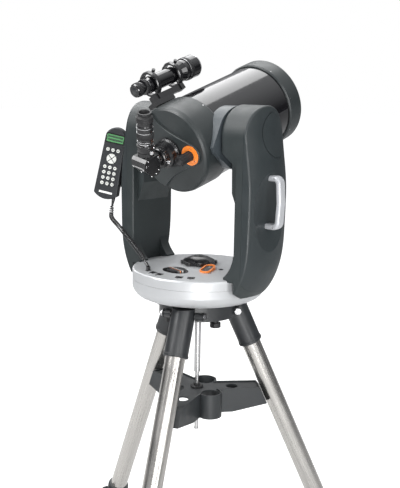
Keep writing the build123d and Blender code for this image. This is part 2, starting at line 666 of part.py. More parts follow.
def leaf(grow):
    """The leaf-shaped cap over the altitude bearing, as a thick plate."""
    with BuildPart() as plate:
        with BuildSketch(side_view(150)):
            with BuildLine():
                top, tip = (14, BASE_TOP + 411), (54, BASE_TOP + 306)
                ThreePointArc(top, (-24, BASE_TOP + 364), tip)
                ThreePointArc(tip, (60, BASE_TOP + 362), top)
            make_face()
            offset(amount=grow)
        extrude(amount=120)
    return plate.part


# the outside of the whole base with a little room, which the feet of the arms fit round
FOOT_GAP = 0.2
with BuildPart() as base_envelope:
    with BuildSketch(rear_view()):
        with BuildLine():
            over = BASE_TOP + FOOT_GAP
            out = BASE_RADIUS + FOOT_GAP
            crown = ThreePointArc((0, over + CROWN), (90, over + crown_height(90)), (out - 5, over))
            corner = ThreePointArc(crown @ 1, (out - 1.5, over - 1.5), (out, over - 5))
            side = Line(corner @ 1, (out, BASE_TOP - 46))
            flank = ThreePointArc(side @ 1, (out - 7, BASE_TOP - 62),
                                  (BASE_FOOT_RADIUS + FOOT_GAP, BASE_BOTTOM))
            Polyline(flank @ 1, (0, BASE_BOTTOM), crown @ 0)
        make_face()
    revolve(axis=AZIMUTH_AXIS)

with BuildPart() as arm_outer:
    add(arm_body(0))
    crowned_face = arm_outer.faces().filter_by(lambda f: f.center().X > AZIMUTH_X + 205).sort_by(Face.area)[-1]
    fillet(crowned_face.edges().filter_by(lambda e: e.length > 60), 6)
    knuckle_face = arm_outer.faces().sort_by(Axis.X)[0]
    fillet(knuckle_face.edges().filter_by(lambda e: e.center().Z > BASE_TOP + 325), 14)
    inner_edges = arm_outer.edges().filter_by(Axis.Z).filter_by(
        lambda e: abs(e.center().X - AZIMUTH_X - ARM_INNER) < 1 and e.length > 200)
    fillet(inner_edges, 5)
arm_inner = arm_body(ARM_WALL)
arm_skin = arm_body(3.0)

BEARING_RADIUS = ALTITUDE_SHAFT_RADIUS + RUNNING_GAP
FLARE_ENDS = ((ARM_REAR, ARM_REAR + 30), (30, 60))
with BuildPart() as right_arm_frame:
    add(arm_outer.part)
    add(arm_inner, mode=Mode.SUBTRACT)
    split(bisect_by=side_view(ARM_PARTING), keep=Keep.BOTTOM)
    # the foot flares inwards over the rim of the base at both edges
    for start, end in FLARE_ENDS:
        with BuildSketch(rear_view(end)):
            with BuildLine():
                flare = ThreePointArc((ARM_INNER + 1, BASE_TOP + 62), (ARM_INNER - 9, BASE_TOP + 30),
                                      (145, BASE_TOP + 6))
                Polyline(flare @ 1, (145, BASE_TOP - 4), (ARM_INNER + 5, BASE_TOP - 4),
                         (ARM_INNER + 5, BASE_TOP + 62), flare @ 0)
            make_face()
        extrude(amount=end - start)
    # the housing of the altitude drive stands off the inner face
    with BuildSketch(rear_view(58)):
        Polygon((ARM_INNER + 2, BASE_TOP + 158), (152, BASE_TOP + 214), (150, BASE_TOP + 300),
                (ARM_INNER + 2, BASE_TOP + 284), align=None)
    extrude(amount=114)
    add(base_envelope.part, mode=Mode.SUBTRACT)
    # the altitude bearing
    with BuildSketch(side_view(KNUCKLE_INNER)):
        with Locations((0, ALTITUDE_HEIGHT)):
            Circle(ALTITUDE_SHAFT_RADIUS + 9)
    extrude(amount=28)
    with BuildSketch(side_view(KNUCKLE_INNER - 5)):
        with Locations((0, ALTITUDE_HEIGHT)):
            Circle(BEARING_RADIUS)
    extrude(amount=60, mode=Mode.SUBTRACT)
    right_frame_body = right_arm_frame.solids().sort_by(SortBy.VOLUME)[-1]

with BuildPart() as cover_hollow:
    add(arm_inner)
    add(recess(4), mode=Mode.SUBTRACT)
with BuildPart() as plain_cover:
    add(arm_outer.part)
    add(recess(0), mode=Mode.SUBTRACT)
    add(cover_hollow.part, mode=Mode.SUBTRACT)
    split(bisect_by=side_view(ARM_PARTING + 0.4), keep=Keep.TOP)
    add(base_envelope.part, mode=Mode.SUBTRACT)

LEAF_GROOVE = 1.2
with BuildPart() as leaf_seat:
    add(leaf(LEAF_GROOVE))
    add(arm_skin, mode=Mode.SUBTRACT)
with BuildPart() as right_arm_cover:
    add(plain_cover.part)
    add(leaf_seat.part, mode=Mode.SUBTRACT)
    right_cover_body = right_arm_cover.solids().sort_by(SortBy.VOLUME)[-1]

with BuildPart() as pivot_cap:
    add(leaf(0))
    add(arm_body(-0.8), mode=Mode.INTERSECT)
    add(arm_skin, mode=Mode.SUBTRACT)
    cap_body = pivot_cap.solids().sort_by(Axis.X)[-1]

with BuildPart() as left_arm_cover:
    add(mirror(plain_cover.part, about=MIDDLE, mode=Mode.PRIVATE))
    with BuildSketch(side_view(-240)):
        with Locations((0, ALTITUDE_HEIGHT)):
            Circle(LOCK_SHAFT_RADIUS + RUNNING_GAP)
    extrude(amount=60, mode=Mode.SUBTRACT)
    left_cover_body = left_arm_cover.solids().sort_by(SortBy.VOLUME)[-1]

save(right_frame_body, "right_arm_frame")
save(mirror(right_frame_body, about=MIDDLE), "left_arm_frame")
save(right_cover_body, "right_arm_cover")
save(left_cover_body, "left_arm_cover")
save(cap_body, "pivot_cap")

LOCK_SEAT = side_view(-223.5)
with BuildPart() as altitude_lock_knob:
    with BuildSketch(LOCK_SEAT):
        with Locations((0, ALTITUDE_HEIGHT)):
            Circle(24)
            with PolarLocations(22, 6):
                Circle(7)
    extrude(amount=-14)
    fillet(altitude_lock_knob.faces().sort_by(Axis.X)[0].edges(), 3)
    with BuildSketch(LOCK_SEAT):
        with Locations((0, ALTITUDE_HEIGHT)):
            Circle(LOCK_SHAFT_RADIUS)
    extrude(amount=36)
save(altitude_lock_knob.part, "altitude_lock_knob")

# ---------------------------------------------------------------- carry handles
HANDLE_OUT = 257.0


def carry_handle():
    with BuildPart() as handle:
        with BuildLine(rear_view(HANDLE_Y)) as spine:
            FilletPolyline((RECESS_FLOOR + 0.5, HANDLE_TOP - 8), (HANDLE_OUT - 4, HANDLE_TOP - 8),
                           (HANDLE_OUT, (HANDLE_TOP + HANDLE_FOOT) / 2), (HANDLE_OUT - 4, HANDLE_FOOT + 8),
                           (RECESS_FLOOR + 0.5, HANDLE_FOOT + 8), radius=14)
        with BuildSketch(Plane(origin=spine.line @ 0, x_dir=(0, 1, 0), z_dir=(1, 0, 0))):
            RectangleRounded(25, 14, 6)
        sweep()
        add(recess(0), mode=Mode.INTERSECT)
    return handle.part


handle = carry_handle()
save(Compound(children=[handle, mirror(handle, about=MIDDLE)]), "carry_handles")

# ================================================================ TELESCOPE TUBE
def turned(points, x=0.0, up=0.0):
    """A body of revolution about a line parallel to the tube, from (distance, radius) points."""
    plane = Plane(origin=PIVOT + Vector(x, 0, 0) + TUBE_UP * up, x_dir=TUBE_DIRECTION, z_dir=(1, 0, 0))
    with BuildPart() as piece:
        with BuildSketch(plane):
            with BuildLine():
                Polyline(*points, close=True)
            make_face()
        revolve(axis=Axis(plane.origin, TUBE_DIRECTION))
    return piece.part


with BuildPart() as optical_tube:
    with BuildSketch(across_tube(256)):
        Circle(TUBE_RADIUS)
        Circle(TUBE_RADIUS - TUBE_WALL, mode=Mode.SUBTRACT)
    extrude(amount=256 + 50)
save(optical_tube.part, "optical_tube")

CORRECTOR_SEAT = 262.0
SECONDARY_RADIUS = 34.0
R = FRONT_CELL_RADIUS
save(turned([(FRONT_CELL_REAR, TUBE_RADIUS), (FRONT_CELL_REAR, 113), (FRONT_CELL_REAR + 3, R),
             (FRONT_RIM - 4, R), (FRONT_RIM - 1, R - 1), (FRONT_RIM, R - 4), (FRONT_RIM, 110),
             (274, 106), (CORRECTOR_SEAT + 5, 106), (CORRECTOR_SEAT, 106), (CORRECTOR_SEAT, APERTURE_RADIUS),
             (256, APERTURE_RADIUS), (256, TUBE_RADIUS)]), "front_cell")
save(turned([(CORRECTOR_SEAT, SECONDARY_RADIUS), (CORRECTOR_SEAT, 106), (CORRECTOR_SEAT + 4.5, 106),
             (CORRECTOR_SEAT + 4.5, SECONDARY_RADIUS)]), "corrector_plate")
save(turned([(250, 0), (250, 30), (256, SECONDARY_RADIUS), (CORRECTOR_SEAT + 4.5, SECONDARY_RADIUS),
             (CORRECTOR_SEAT + 4.5, 38), (CORRECTOR_SEAT + 12, 37), (CORRECTOR_SEAT + 15, 33),
             (CORRECTOR_SEAT + 15, 0)]), "secondary_mirror")

BAFFLE_RADIUS = 20.0
PLATEAU_HEIGHT = 6.0
PLATEAU_FACE = REAR_FACE - PLATEAU_HEIGHT
FOCUS_SHAFT_RADIUS = 5.0
R = REAR_CELL_RADIUS
with BuildPart() as rear_cell:
    add(turned([(REAR_CELL_FRONT, TUBE_RADIUS), (REAR_CELL_FRONT, R - 1.5), (REAR_CELL_FRONT - 3, R),
                (REAR_FACE + 12, R - 2), (REAR_FACE + 4, R - 4), (REAR_FACE, R - 9), (REAR_FACE, 0),
                (REAR_FACE + 8, 0), (REAR_FACE + 8, R - 10), (-50, R - 7), (-50, TUBE_RADIUS)]))
    # the raised wedge that narrows from the left edge of the rear face to the focuser
    with BuildSketch(across_tube(REAR_FACE + 2)):
        with BuildLine():
            upper = Spline((-40, 97), (10, 52), (FOCUSER_X + 6, FOCUSER_UP + 27),
                           tangents=((0.45, -0.9), (1, -0.45)))
            nose = ThreePointArc(upper @ 1, (FOCUSER_X + 28, FOCUSER_UP), (FOCUSER_X + 6, FOCUSER_UP - 27))
            lower = Spline(nose @ 1, (10, -58), (-40, -97), tangents=((-1, -0.35), (-0.6, -0.8)))
            ThreePointArc(lower @ 1, (-104.9, 0), upper @ 0)
        make_face()
    extrude(amount=PLATEAU_HEIGHT + 2)
    fillet(rear_cell.faces().sort_by(TUBE_AXIS)[0].edges(), 2.5)
    with BuildSketch(across_tube(-90)):
        Circle(BAFFLE_RADIUS + 0.3)
        with Locations((FOCUSER_X, FOCUSER_UP)):
            Circle(FOCUS_SHAFT_RADIUS + RUNNING_GAP)
    extrude(amount=60, mode=Mode.SUBTRACT)
save(rear_cell.part, "rear_cell")

save(turned([(PLATEAU_FACE + 1, BAFFLE_RADIUS - 1.6), (PLATEAU_FACE + 1, BAFFLE_RADIUS),
             (REAR_FACE + 8, BAFFLE_RADIUS), (REAR_FACE + 8, 26), (REAR_FACE + 10, 26),
             (REAR_FACE + 10, BAFFLE_RADIUS), (110, BAFFLE_RADIUS), (110, BAFFLE_RADIUS - 1.6)]), "baffle_tube")
save(turned([(-96, BAFFLE_RADIUS + RUNNING_GAP), (-96, 100), (-80, 100), (-84, 40),
             (-84, BAFFLE_RADIUS + RUNNING_GAP)]), "primary_mirror")

with BuildPart() as focus_trim:
    with BuildSketch(across_tube(PLATEAU_FACE)):
        with Locations((FOCUSER_X, FOCUSER_UP)):
            Circle(25)
            Circle(13, mode=Mode.SUBTRACT)
            with PolarLocations(19, 3, start_angle=75):
                Circle(2.2, mode=Mode.SUBTRACT)
    extrude(amount=3)
save(focus_trim.part, "focus_trim")

with BuildPart() as focus_knob:
    with BuildSketch(across_tube(REAR_FACE + 9)):
        with Locations((FOCUSER_X, FOCUSER_UP)):
            Circle(FOCUS_SHAFT_RADIUS)
    extrude(amount=18)
    with BuildSketch(across_tube(PLATEAU_FACE - 1)):
        with Locations((FOCUSER_X, FOCUSER_UP)):
            Circle(11.5)
            with PolarLocations(11.5, 12):
                Circle(1.2)
    extrude(amount=42)
    fillet(focus_knob.faces().sort_by(TUBE_AXIS)[0].edges(), 0.8)
save(focus_knob.part, "focus_knob")

# ---------------------------------------------------------------- altitude brackets
BRACKET_INNER = 84.0
with BuildPart() as right_bracket:
    with BuildSketch(along_tube(BRACKET_INNER)):
        with BuildLine():
            nose = Polyline((-50, 62), (-98, 10), (-94, -6), (-50, -60))
            tail = ThreePointArc(nose @ 1, (78, 0), nose @ 0)
        make_face()
    extrude(amount=KNUCKLE_INNER - 0.4 - BRACKET_INNER)
    fillet(right_bracket.edges().filter_by(Axis.X).filter_by(lambda e: e.length > 20), 4)
    with BuildSketch(across_tube(90)):
        Circle(TUBE_RADIUS)
    extrude(amount=90 - REAR_CELL_FRONT, mode=Mode.SUBTRACT)
    with BuildSketch(across_tube(REAR_CELL_FRONT)):
        Circle(REAR_CELL_RADIUS)
    extrude(amount=100, mode=Mode.SUBTRACT)
    bracket_body = right_bracket.solids().sort_by(SortBy.VOLUME)[-1]
with BuildPart() as right_pivot:
    add(bracket_body)
    with BuildSketch(side_view(KNUCKLE_INNER - 2)):
        with Locations((0, ALTITUDE_HEIGHT)):
            Circle(ALTITUDE_SHAFT_RADIUS)
    extrude(amount=WHEEL_X + 5 - KNUCKLE_INNER + 2)
with BuildPart() as left_pivot:
    add(mirror(bracket_body, about=MIDDLE, mode=Mode.PRIVATE))
    with BuildSketch(side_view(-KNUCKLE_INNER + 2)):
        with Locations((0, ALTITUDE_HEIGHT)):
            Circle(ALTITUDE_SHAFT_RADIUS)
    extrude(amount=-60)
save(Compound(children=[right_pivot.part, left_pivot.part]), "altitude_brackets")

with BuildPart() as altitude_wheel:
    with BuildSketch(side_view(WHEEL_X - 5)):
        with Locations((0, ALTITUDE_HEIGHT)):
            Circle(ALTITUDE_WHEEL_RADIUS)
            Circle(ALTITUDE_SHAFT_RADIUS, mode=Mode.SUBTRACT)
    extrude(amount=10)
save(altitude_wheel.part, "altitude_wheel")

# ---------------------------------------------------------------- visual back, diagonal, eyepiece
BARREL_RADIUS = 15.9
save(turned([(PLATEAU_FACE, BARREL_RADIUS + RUNNING_GAP), (PLATEAU_FACE, 37), (-130, 37), (-134, 34),
             (-146, 33), (-150, 26), (-166, 26), (-168, 24), (-168, BARREL_RADIUS + RUNNING_GAP)]),
     "visual_back")

LEAN = math.radians(EYEPIECE_LEAN)
EYEPIECE_DIRECTION = TUBE_UP * math.cos(LEAN) + Vector(math.sin(LEAN), 0, 0)
DIAGONAL_CENTRE = PIVOT + TUBE_DIRECTION * DIAGONAL_AT
DIAGONAL_SIDE = Plane(origin=DIAGONAL_CENTRE, x_dir=TUBE_DIRECTION,
                      z_dir=TUBE_DIRECTION.cross(EYEPIECE_DIRECTION))
EYEPIECE_AXIS = Axis(DIAGONAL_CENTRE, EYEPIECE_DIRECTION)


def up_eyepiece(t):
    """The plane square to the eyepiece at a distance from the centre of the diagonal."""
    return Plane(origin=DIAGONAL_CENTRE + EYEPIECE_DIRECTION * t, x_dir=DIAGONAL_SIDE.z_dir,
                 z_dir=EYEPIECE_DIRECTION)


with BuildPart() as star_diagonal:
    with BuildSketch(across_tube(-146)):
        Circle(BARREL_RADIUS)
    extrude(amount=38)
    with BuildSketch(DIAGONAL_SIDE.offset(-22)):
        Polygon((27, -21), (27, 21), (22, 26), (-20, 26), (-27, 18), (-27, 4), (4, -27), (20, -27), align=None)
    extrude(amount=44)
    fillet(star_diagonal.edges().filter_by(lambda e: e.geom_type == GeomType.LINE and e.length > 40), 2)
    with BuildSketch(across_tube(DIAGONAL_AT + 35)):
        Circle(19)
    extrude(amount=10)
    with BuildSketch(up_eyepiece(24)):
        Circle(19.5)
    extrude(amount=12)
    with BuildSketch(up_eyepiece(16)):
        Circle(BARREL_RADIUS + RUNNING_GAP)
    extrude(amount=40, mode=Mode.SUBTRACT)
save(star_diagonal.part, "star_diagonal")

with BuildPart() as eyepiece:
    with BuildSketch(Plane(origin=DIAGONAL_CENTRE, x_dir=DIAGONAL_SIDE.z_dir,
                           z_dir=EYEPIECE_DIRECTION.cross(DIAGONAL_SIDE.z_dir) * -1)):
        with BuildLine():
            Polyline((0, 18), (BARREL_RADIUS, 18), (BARREL_RADIUS, 57), (18, 58), (19, 62), (17.5, 63),
                     (17.5, 66), (19.5, 68), (19.5, 104), (18.5, 106), (18.5, 112), (19.5, 114), (19, 126),
                     (15.5, 130), (17, 132), (17, 137), (13, 137), (11, 128), (0, 127), close=True)
        make_face()
    revolve(axis=EYEPIECE_AXIS)
save(eyepiece.part, "eyepiece")

# ---------------------------------------------------------------- finder scope
FINDER_ANGLE = math.radians(FINDER_LEAN)
FINDER_X = FINDER_RADIUS_FROM_AXIS * math.sin(FINDER_ANGLE)
FINDER_UP = FINDER_RADIUS_FROM_AXIS * math.cos(FINDER_ANGLE)
FINDER_OUT = TUBE_UP * math.cos(FINDER_ANGLE) + Vector(math.sin(FINDER_ANGLE), 0, 0)
RING_PLACES = (-51.0, 32.0)
save(turned([(-111, 0), (-111, 15), (-109, 17), (-90, 17), (-88, 14.5), (-84, 14.5), (-82, 19), (-72, 19),
             (-70, 16), (-66, 16), (-62, 21), (48, 21), (62, 27.5), (74, 27.5), (75, 29.5), (114, 29.5),
             (117, 28), (117, 26), (106, 25), (106, 0)], FINDER_X, FINDER_UP), "finder_tube")

with BuildPart() as finder_bracket:
    for place in RING_PLACES:
        add(turned([(place - 7, 26.5), (place - 7, 31), (place - 5, 33), (place + 5, 33), (place + 7, 31),
                    (place + 7, 26.5)], FINDER_X, FINDER_UP))
    # the post under the rings stands on a dovetail block on the rear cell
    finder_foot = Plane(origin=PIVOT + FINDER_OUT * 100, x_dir=TUBE_DIRECTION, z_dir=FINDER_OUT)
    with BuildSketch(finder_foot.offset(14)):
        with Locations((-52, 0)):
            Rectangle(66, 34)
    extrude(amount=14)
    with BuildSketch(finder_foot.offset(28)):
        with Locations((-20, 0)):
            Rectangle(116, 13)
    extrude(amount=16)
    for place in RING_PLACES:
        with BuildSketch(finder_foot.offset(28)):
            with Locations((place, 0)):
                Rectangle(13, 20)
        extrude(amount=22)
    for s_from, radius in ((100, TUBE_RADIUS + 1), (REAR_CELL_FRONT, REAR_CELL_RADIUS)):
        with BuildSketch(across_tube(s_from)):
            Circle(radius)
        extrude(amount=131, mode=Mode.SUBTRACT)
    for place in RING_PLACES:
        with BuildSketch(Plane(origin=PIVOT + FINDER_OUT * FINDER_RADIUS_FROM_AXIS + TUBE_DIRECTION * place,
                               z_dir=TUBE_DIRECTION)):
            Circle(26.5)
        extrude(amount=8, both=True, mode=Mode.SUBTRACT)
    # three alignment screws in each ring hold the finder
    for place in RING_PLACES:
        centre = PIVOT + FINDER_OUT * FINDER_RADIUS_FROM_AXIS + TUBE_DIRECTION * place
        across = FINDER_OUT.cross(TUBE_DIRECTION)
        for turn in (30, 150, 270):
            t = math.radians(turn)
            direction = across * math.cos(t) + FINDER_OUT * math.sin(t)
            with BuildSketch(Plane(origin=centre + direction * 21, z_dir=direction)):
                Circle(2.0)
            extrude(amount=22 if turn != 270 else 8)
            if turn != 270:
                with BuildSketch(Plane(origin=centre + direction * 37, z_dir=direction)):
                    Circle(4.5)
                extrude(amount=7)
save(finder_bracket.part, "finder_bracket")

# ================================================================ HAND CONTROL
CONTROL_TURN = math.radians(30)
CONTROL_LEAN = math.radians(11)
CONTROL_CENTRE = Vector(AZIMUTH_X - 264, AZIMUTH_Y - 66, BASE_TOP + 257)
CONTROL_FACING = Vector(math.sin(CONTROL_TURN), -math.cos(CONTROL_TURN), 0)
control_right = Vector(0, 0, 1).cross(CONTROL_FACING)
control_right = control_right * math.cos(CONTROL_LEAN) - Vector(0, 0, math.sin(CONTROL_LEAN))
CONTROL = Plane(origin=CONTROL_CENTRE, x_dir=control_right, z_dir=CONTROL_FACING)
CONTROL_LENGTH = 198.0
CONTROL_THICK = 28.0
KEY_HOLE = 5.1
KEY_RADIUS = 4.7
KEY_COLUMNS = (-14.5, 0, 14.5)
KEY_ROWS = (38, -10, -25, -40, -55)
PAD_AT = 14.0
PAD_RADIUS = 13.5
FRONT = CONTROL_THICK / 2
CONTROL_EXIT = CONTROL.origin - CONTROL.y_dir * (CONTROL_LENGTH / 2 + 1) + CONTROL.x_dir * 22


def control_outline(inset):
    """The tapered outline of the hand control, drawn in by an inset."""
    half = CONTROL_LENGTH / 2 - inset
    with BuildLine() as line:
        low = Line((-34 + inset, -half + 14), (-33 + inset, -half + 45))
        wall = Line(low @ 1, (-29 + inset, half - 26))
        crown_line = ThreePointArc(wall @ 1, (0, half), (29 - inset, half - 26))
        Line(crown_line @ 1, (33 - inset, -half + 45))
        Line((33 - inset, -half + 45), (34 - inset, -half + 14))
        ThreePointArc((34 - inset, -half + 14), (0, -half), (-34 + inset, -half + 14))
    return line.line


with BuildPart() as control_case:
    with BuildSketch(CONTROL.offset(-FRONT)):
        with BuildLine():
            add(control_outline(0))
        make_face()
    extrude(amount=CONTROL_THICK)
    fillet(control_case.faces().sort_by(Axis(CONTROL_CENTRE, CONTROL_FACING))[-1].edges(), 4)
    fillet(control_case.faces().sort_by(Axis(CONTROL_CENTRE, CONTROL_FACING))[0].edges(), 6)
    with BuildSketch(CONTROL.offset(-FRONT + 3)):
        with BuildLine():
            add(control_outline(4))
        make_face()
    extrude(amount=CONTROL_THICK - 6, mode=Mode.SUBTRACT)
    with BuildSketch(CONTROL.offset(FRONT + 1)):
        with Locations((0, 69)):
            RectangleRounded(48, 21, 2)
        with Locations([(x, y) for x in KEY_COLUMNS for y in KEY_ROWS]):
            Circle(KEY_HOLE)
        with Locations((0, PAD_AT)):
            Circle(PAD_RADIUS + 0.4)
    extrude(amount=-10, mode=Mode.SUBTRACT)
    # the strain relief at the lower end, where the cord leaves
    with BuildSketch(Plane(origin=CONTROL_EXIT + CONTROL.y_dir * 0.4, z_dir=CONTROL.y_dir)):
        Circle(4.6)
    extrude(amount=11)
save(control_case.part, "control_case")

with BuildPart() as control_display:
    with BuildSketch(CONTROL.offset(FRONT - 3)):
        with Locations((0, 69)):
            RectangleRounded(48, 21, 2)
    extrude(amount=2.2)
save(control_display.part, "control_display")

KEY_TRAVEL = 1.0
with BuildPart() as control_keypad:
    with BuildSketch(CONTROL.offset(FRONT - 5)):
        with Locations((0, -9)):
            RectangleRounded(44, 108, 3)
    extrude(amount=1.8)
    with BuildSketch(CONTROL.offset(FRONT - 5)):
        with Locations([(x, y) for x in KEY_COLUMNS for y in KEY_ROWS]):
            Circle(KEY_RADIUS)
        with Locations((0, PAD_AT)):
            Circle(PAD_RADIUS)
            Rectangle(1.4, 30, rotation=45, mode=Mode.SUBTRACT)
            Rectangle(1.4, 30, rotation=-45, mode=Mode.SUBTRACT)
    extrude(amount=7)
save(control_keypad.part, "control_keypad")

# The holder reaches from the left arm to the back of the hand control
with BuildPart() as control_holder:
    with BuildSketch(CONTROL.offset(-FRONT - 6)):
        with Locations((20, -30)):
            RectangleRounded(96, 60, 8)
    extrude(amount=5.6)
    add(left_cover_body, mode=Mode.SUBTRACT)
    with BuildSketch(side_view(-216)):
        with Locations((CONTROL_CENTRE.Y - AZIMUTH_Y, CONTROL_CENTRE.Z)):
            Rectangle(300, 300)
    extrude(amount=60, mode=Mode.SUBTRACT)
    holder_body = control_holder.solids().sort_by(SortBy.VOLUME)[-1]
save(holder_body, "control_holder")

# ---------------------------------------------------------------- cord
CORD_RADIUS = 5.0


def near_base(x, y, z):
    """A point given from the azimuth axis and the rim of the base."""
    return Vector(AZIMUTH_X + x, AZIMUTH_Y + y, BASE_TOP + z)


# from the lower end of the hand control, round the rear edge of the left arm, to the first port
CORD_ROUTE = [CONTROL_EXIT - CONTROL.y_dir * 0.6, CONTROL_EXIT - CONTROL.y_dir * 34,
              near_base(-246, -86, 110), near_base(-207, -97, 96),
              near_base(-163, -107, 73), near_base(-120, -119, 52), near_base(-86, -128, 37),
              near_base(-63, -134, 20)]
runs = [(b - a).length for a, b in zip(CORD_ROUTE, CORD_ROUTE[1:])]
turns = [(b - a).get_angle(c - b) for a, b, c in zip(CORD_ROUTE, CORD_ROUTE[1:], CORD_ROUTE[2:])]
radii = [0.45 * min(before, after) / math.tan(math.radians(turn) / 2)
         for before, after, turn in zip(runs, runs[1:], turns)]
with BuildPart() as control_cord:
    with BuildLine() as cord_path:
        FilletPolyline(*CORD_ROUTE, radius=radii)
    with BuildSketch(Plane(origin=cord_path.line @ 0, z_dir=cord_path.line % 0)):
        Circle(CORD_RADIUS)
    sweep()
cord_length = sum(edge.length for edge in cord_path.edges())
print("cord radii", [round(r) for r in radii], "turns", [round(t) for t in turns])
print("cord length", round(cord_length, 1), "volume over section times length",
      round(control_cord.part.volume / (math.pi * CORD_RADIUS ** 2 * cord_length), 4))
save(control_cord.part, "control_cord")

PLUG_AZIMUTH = PORT_AZIMUTHS[0]
plug_entry = (CORD_ROUTE[-1] - CORD_ROUTE[-2]).normalized()
with BuildPart() as cord_plug:
    with BuildSketch(level(BASE_TOP - 8)):
        with Locations(Location((0, 0, 0), (0, 0, PLUG_AZIMUTH))):
            with Locations((PORT_CIRCLE, 0)):
                Rectangle(PORT_SIZE[1] - 4.4, PORT_SIZE[0] - 4.4)
    extrude(amount=21)
    with BuildSketch(Plane(origin=CORD_ROUTE[-1], z_dir=plug_entry)):
        Circle(4.2)
    extrude(amount=12)
save(cord_plug.part, "cord_plug")
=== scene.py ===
"""Looks of the fork-mounted telescope, in metres, in the frame of the CAD model."""
import json
import math
import bmesh
import bpy
import numpy as np
from mathutils import Matrix, Vector


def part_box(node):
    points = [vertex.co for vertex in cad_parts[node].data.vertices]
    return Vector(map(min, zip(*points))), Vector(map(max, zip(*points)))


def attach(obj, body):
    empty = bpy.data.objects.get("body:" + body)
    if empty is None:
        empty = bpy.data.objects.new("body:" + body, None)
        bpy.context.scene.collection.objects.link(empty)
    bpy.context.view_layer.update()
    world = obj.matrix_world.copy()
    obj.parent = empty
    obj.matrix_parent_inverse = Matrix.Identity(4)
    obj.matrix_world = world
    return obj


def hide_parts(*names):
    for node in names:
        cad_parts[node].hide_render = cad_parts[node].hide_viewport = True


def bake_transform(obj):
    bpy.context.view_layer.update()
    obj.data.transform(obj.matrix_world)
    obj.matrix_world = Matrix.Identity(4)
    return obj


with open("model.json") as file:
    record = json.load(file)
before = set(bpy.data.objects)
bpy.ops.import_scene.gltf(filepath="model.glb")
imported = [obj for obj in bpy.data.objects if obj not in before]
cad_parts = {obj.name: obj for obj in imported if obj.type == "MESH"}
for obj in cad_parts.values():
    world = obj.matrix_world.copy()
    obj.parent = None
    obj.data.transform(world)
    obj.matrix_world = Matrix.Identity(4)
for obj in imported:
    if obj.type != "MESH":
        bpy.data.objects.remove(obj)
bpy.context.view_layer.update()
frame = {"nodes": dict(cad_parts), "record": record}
nodes = frame["nodes"]
JOINTS = {j["name"]: j for j in frame["record"]["behaviour"]["joints"]}
UP = Vector((0, 0, 1))
MM = 0.001


def at(joint):
    """Where a joint is."""
    return Vector(JOINTS[joint]["pos_m"])


def along(joint):
    """Which way a joint points."""
    return Vector(JOINTS[joint]["axis"]).normalized()


CENTRE = at("azimuth_turn")
CROWN = 9 * MM
BASE_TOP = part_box("base_upper_cover")[1].z - CROWN
BASE_RADIUS = 175.0  # millimetres, like every length below that MM multiplies
PIVOT = at("altitude_turn")
TUBE = along("focus_turn")
RIGHT = Vector((1, 0, 0))
TUBE_UP = RIGHT.cross(TUBE)
EYEPIECE = along("eyepiece_draw")
DIAGONAL = at("eyepiece_draw")
CONTROL = at("hand_control_lift")
CONTROL_UP = along("hand_control_lift")
CONTROL_FACING = -along("keypad_press")
CONTROL_RIGHT = CONTROL_UP.cross(CONTROL_FACING)


def near_base(x, y, z):
    """A point in millimetres from the azimuth axis and the rim of the base."""
    return Vector((CENTRE.x + x * MM, CENTRE.y + y * MM, BASE_TOP + z * MM))


def on_tube(s, x=0.0, up=0.0):
    """A point in millimetres along the tube from the altitude axis, to its right and above it."""
    return PIVOT + TUBE * s * MM + RIGHT * x * MM + TUBE_UP * up * MM


# ---------------------------------------------------------------- camera
CAMERA_AZIMUTH, CAMERA_ELEVATION, CAMERA_ROLL = (math.radians(a) for a in (41.42, 10.77, 0.99))
CAMERA_PLACE = near_base(1450.9, -1641.8, 477.6)
CAMERA_SENSOR, CAMERA_LENS = 36, 62.6
forward = Vector((-math.sin(CAMERA_AZIMUTH) * math.cos(CAMERA_ELEVATION),
                  math.cos(CAMERA_AZIMUTH) * math.cos(CAMERA_ELEVATION), -math.sin(CAMERA_ELEVATION)))
level_right = Vector((math.cos(CAMERA_AZIMUTH), math.sin(CAMERA_AZIMUTH), 0))
level_up = level_right.cross(forward)
camera_right = level_right * math.cos(CAMERA_ROLL) + level_up * math.sin(CAMERA_ROLL)
camera_up = level_up * math.cos(CAMERA_ROLL) - level_right * math.sin(CAMERA_ROLL)
camera = bpy.data.objects.new("camera", bpy.data.cameras.new("camera"))
bpy.context.scene.collection.objects.link(camera)
camera.matrix_world = (Matrix.Translation(CAMERA_PLACE)
                       @ Matrix((camera_right, camera_up, -forward)).transposed().to_4x4())
camera.data.sensor_fit = "AUTO"
camera.data.sensor_width = CAMERA_SENSOR
camera.data.lens = CAMERA_LENS
bpy.context.scene.camera = camera


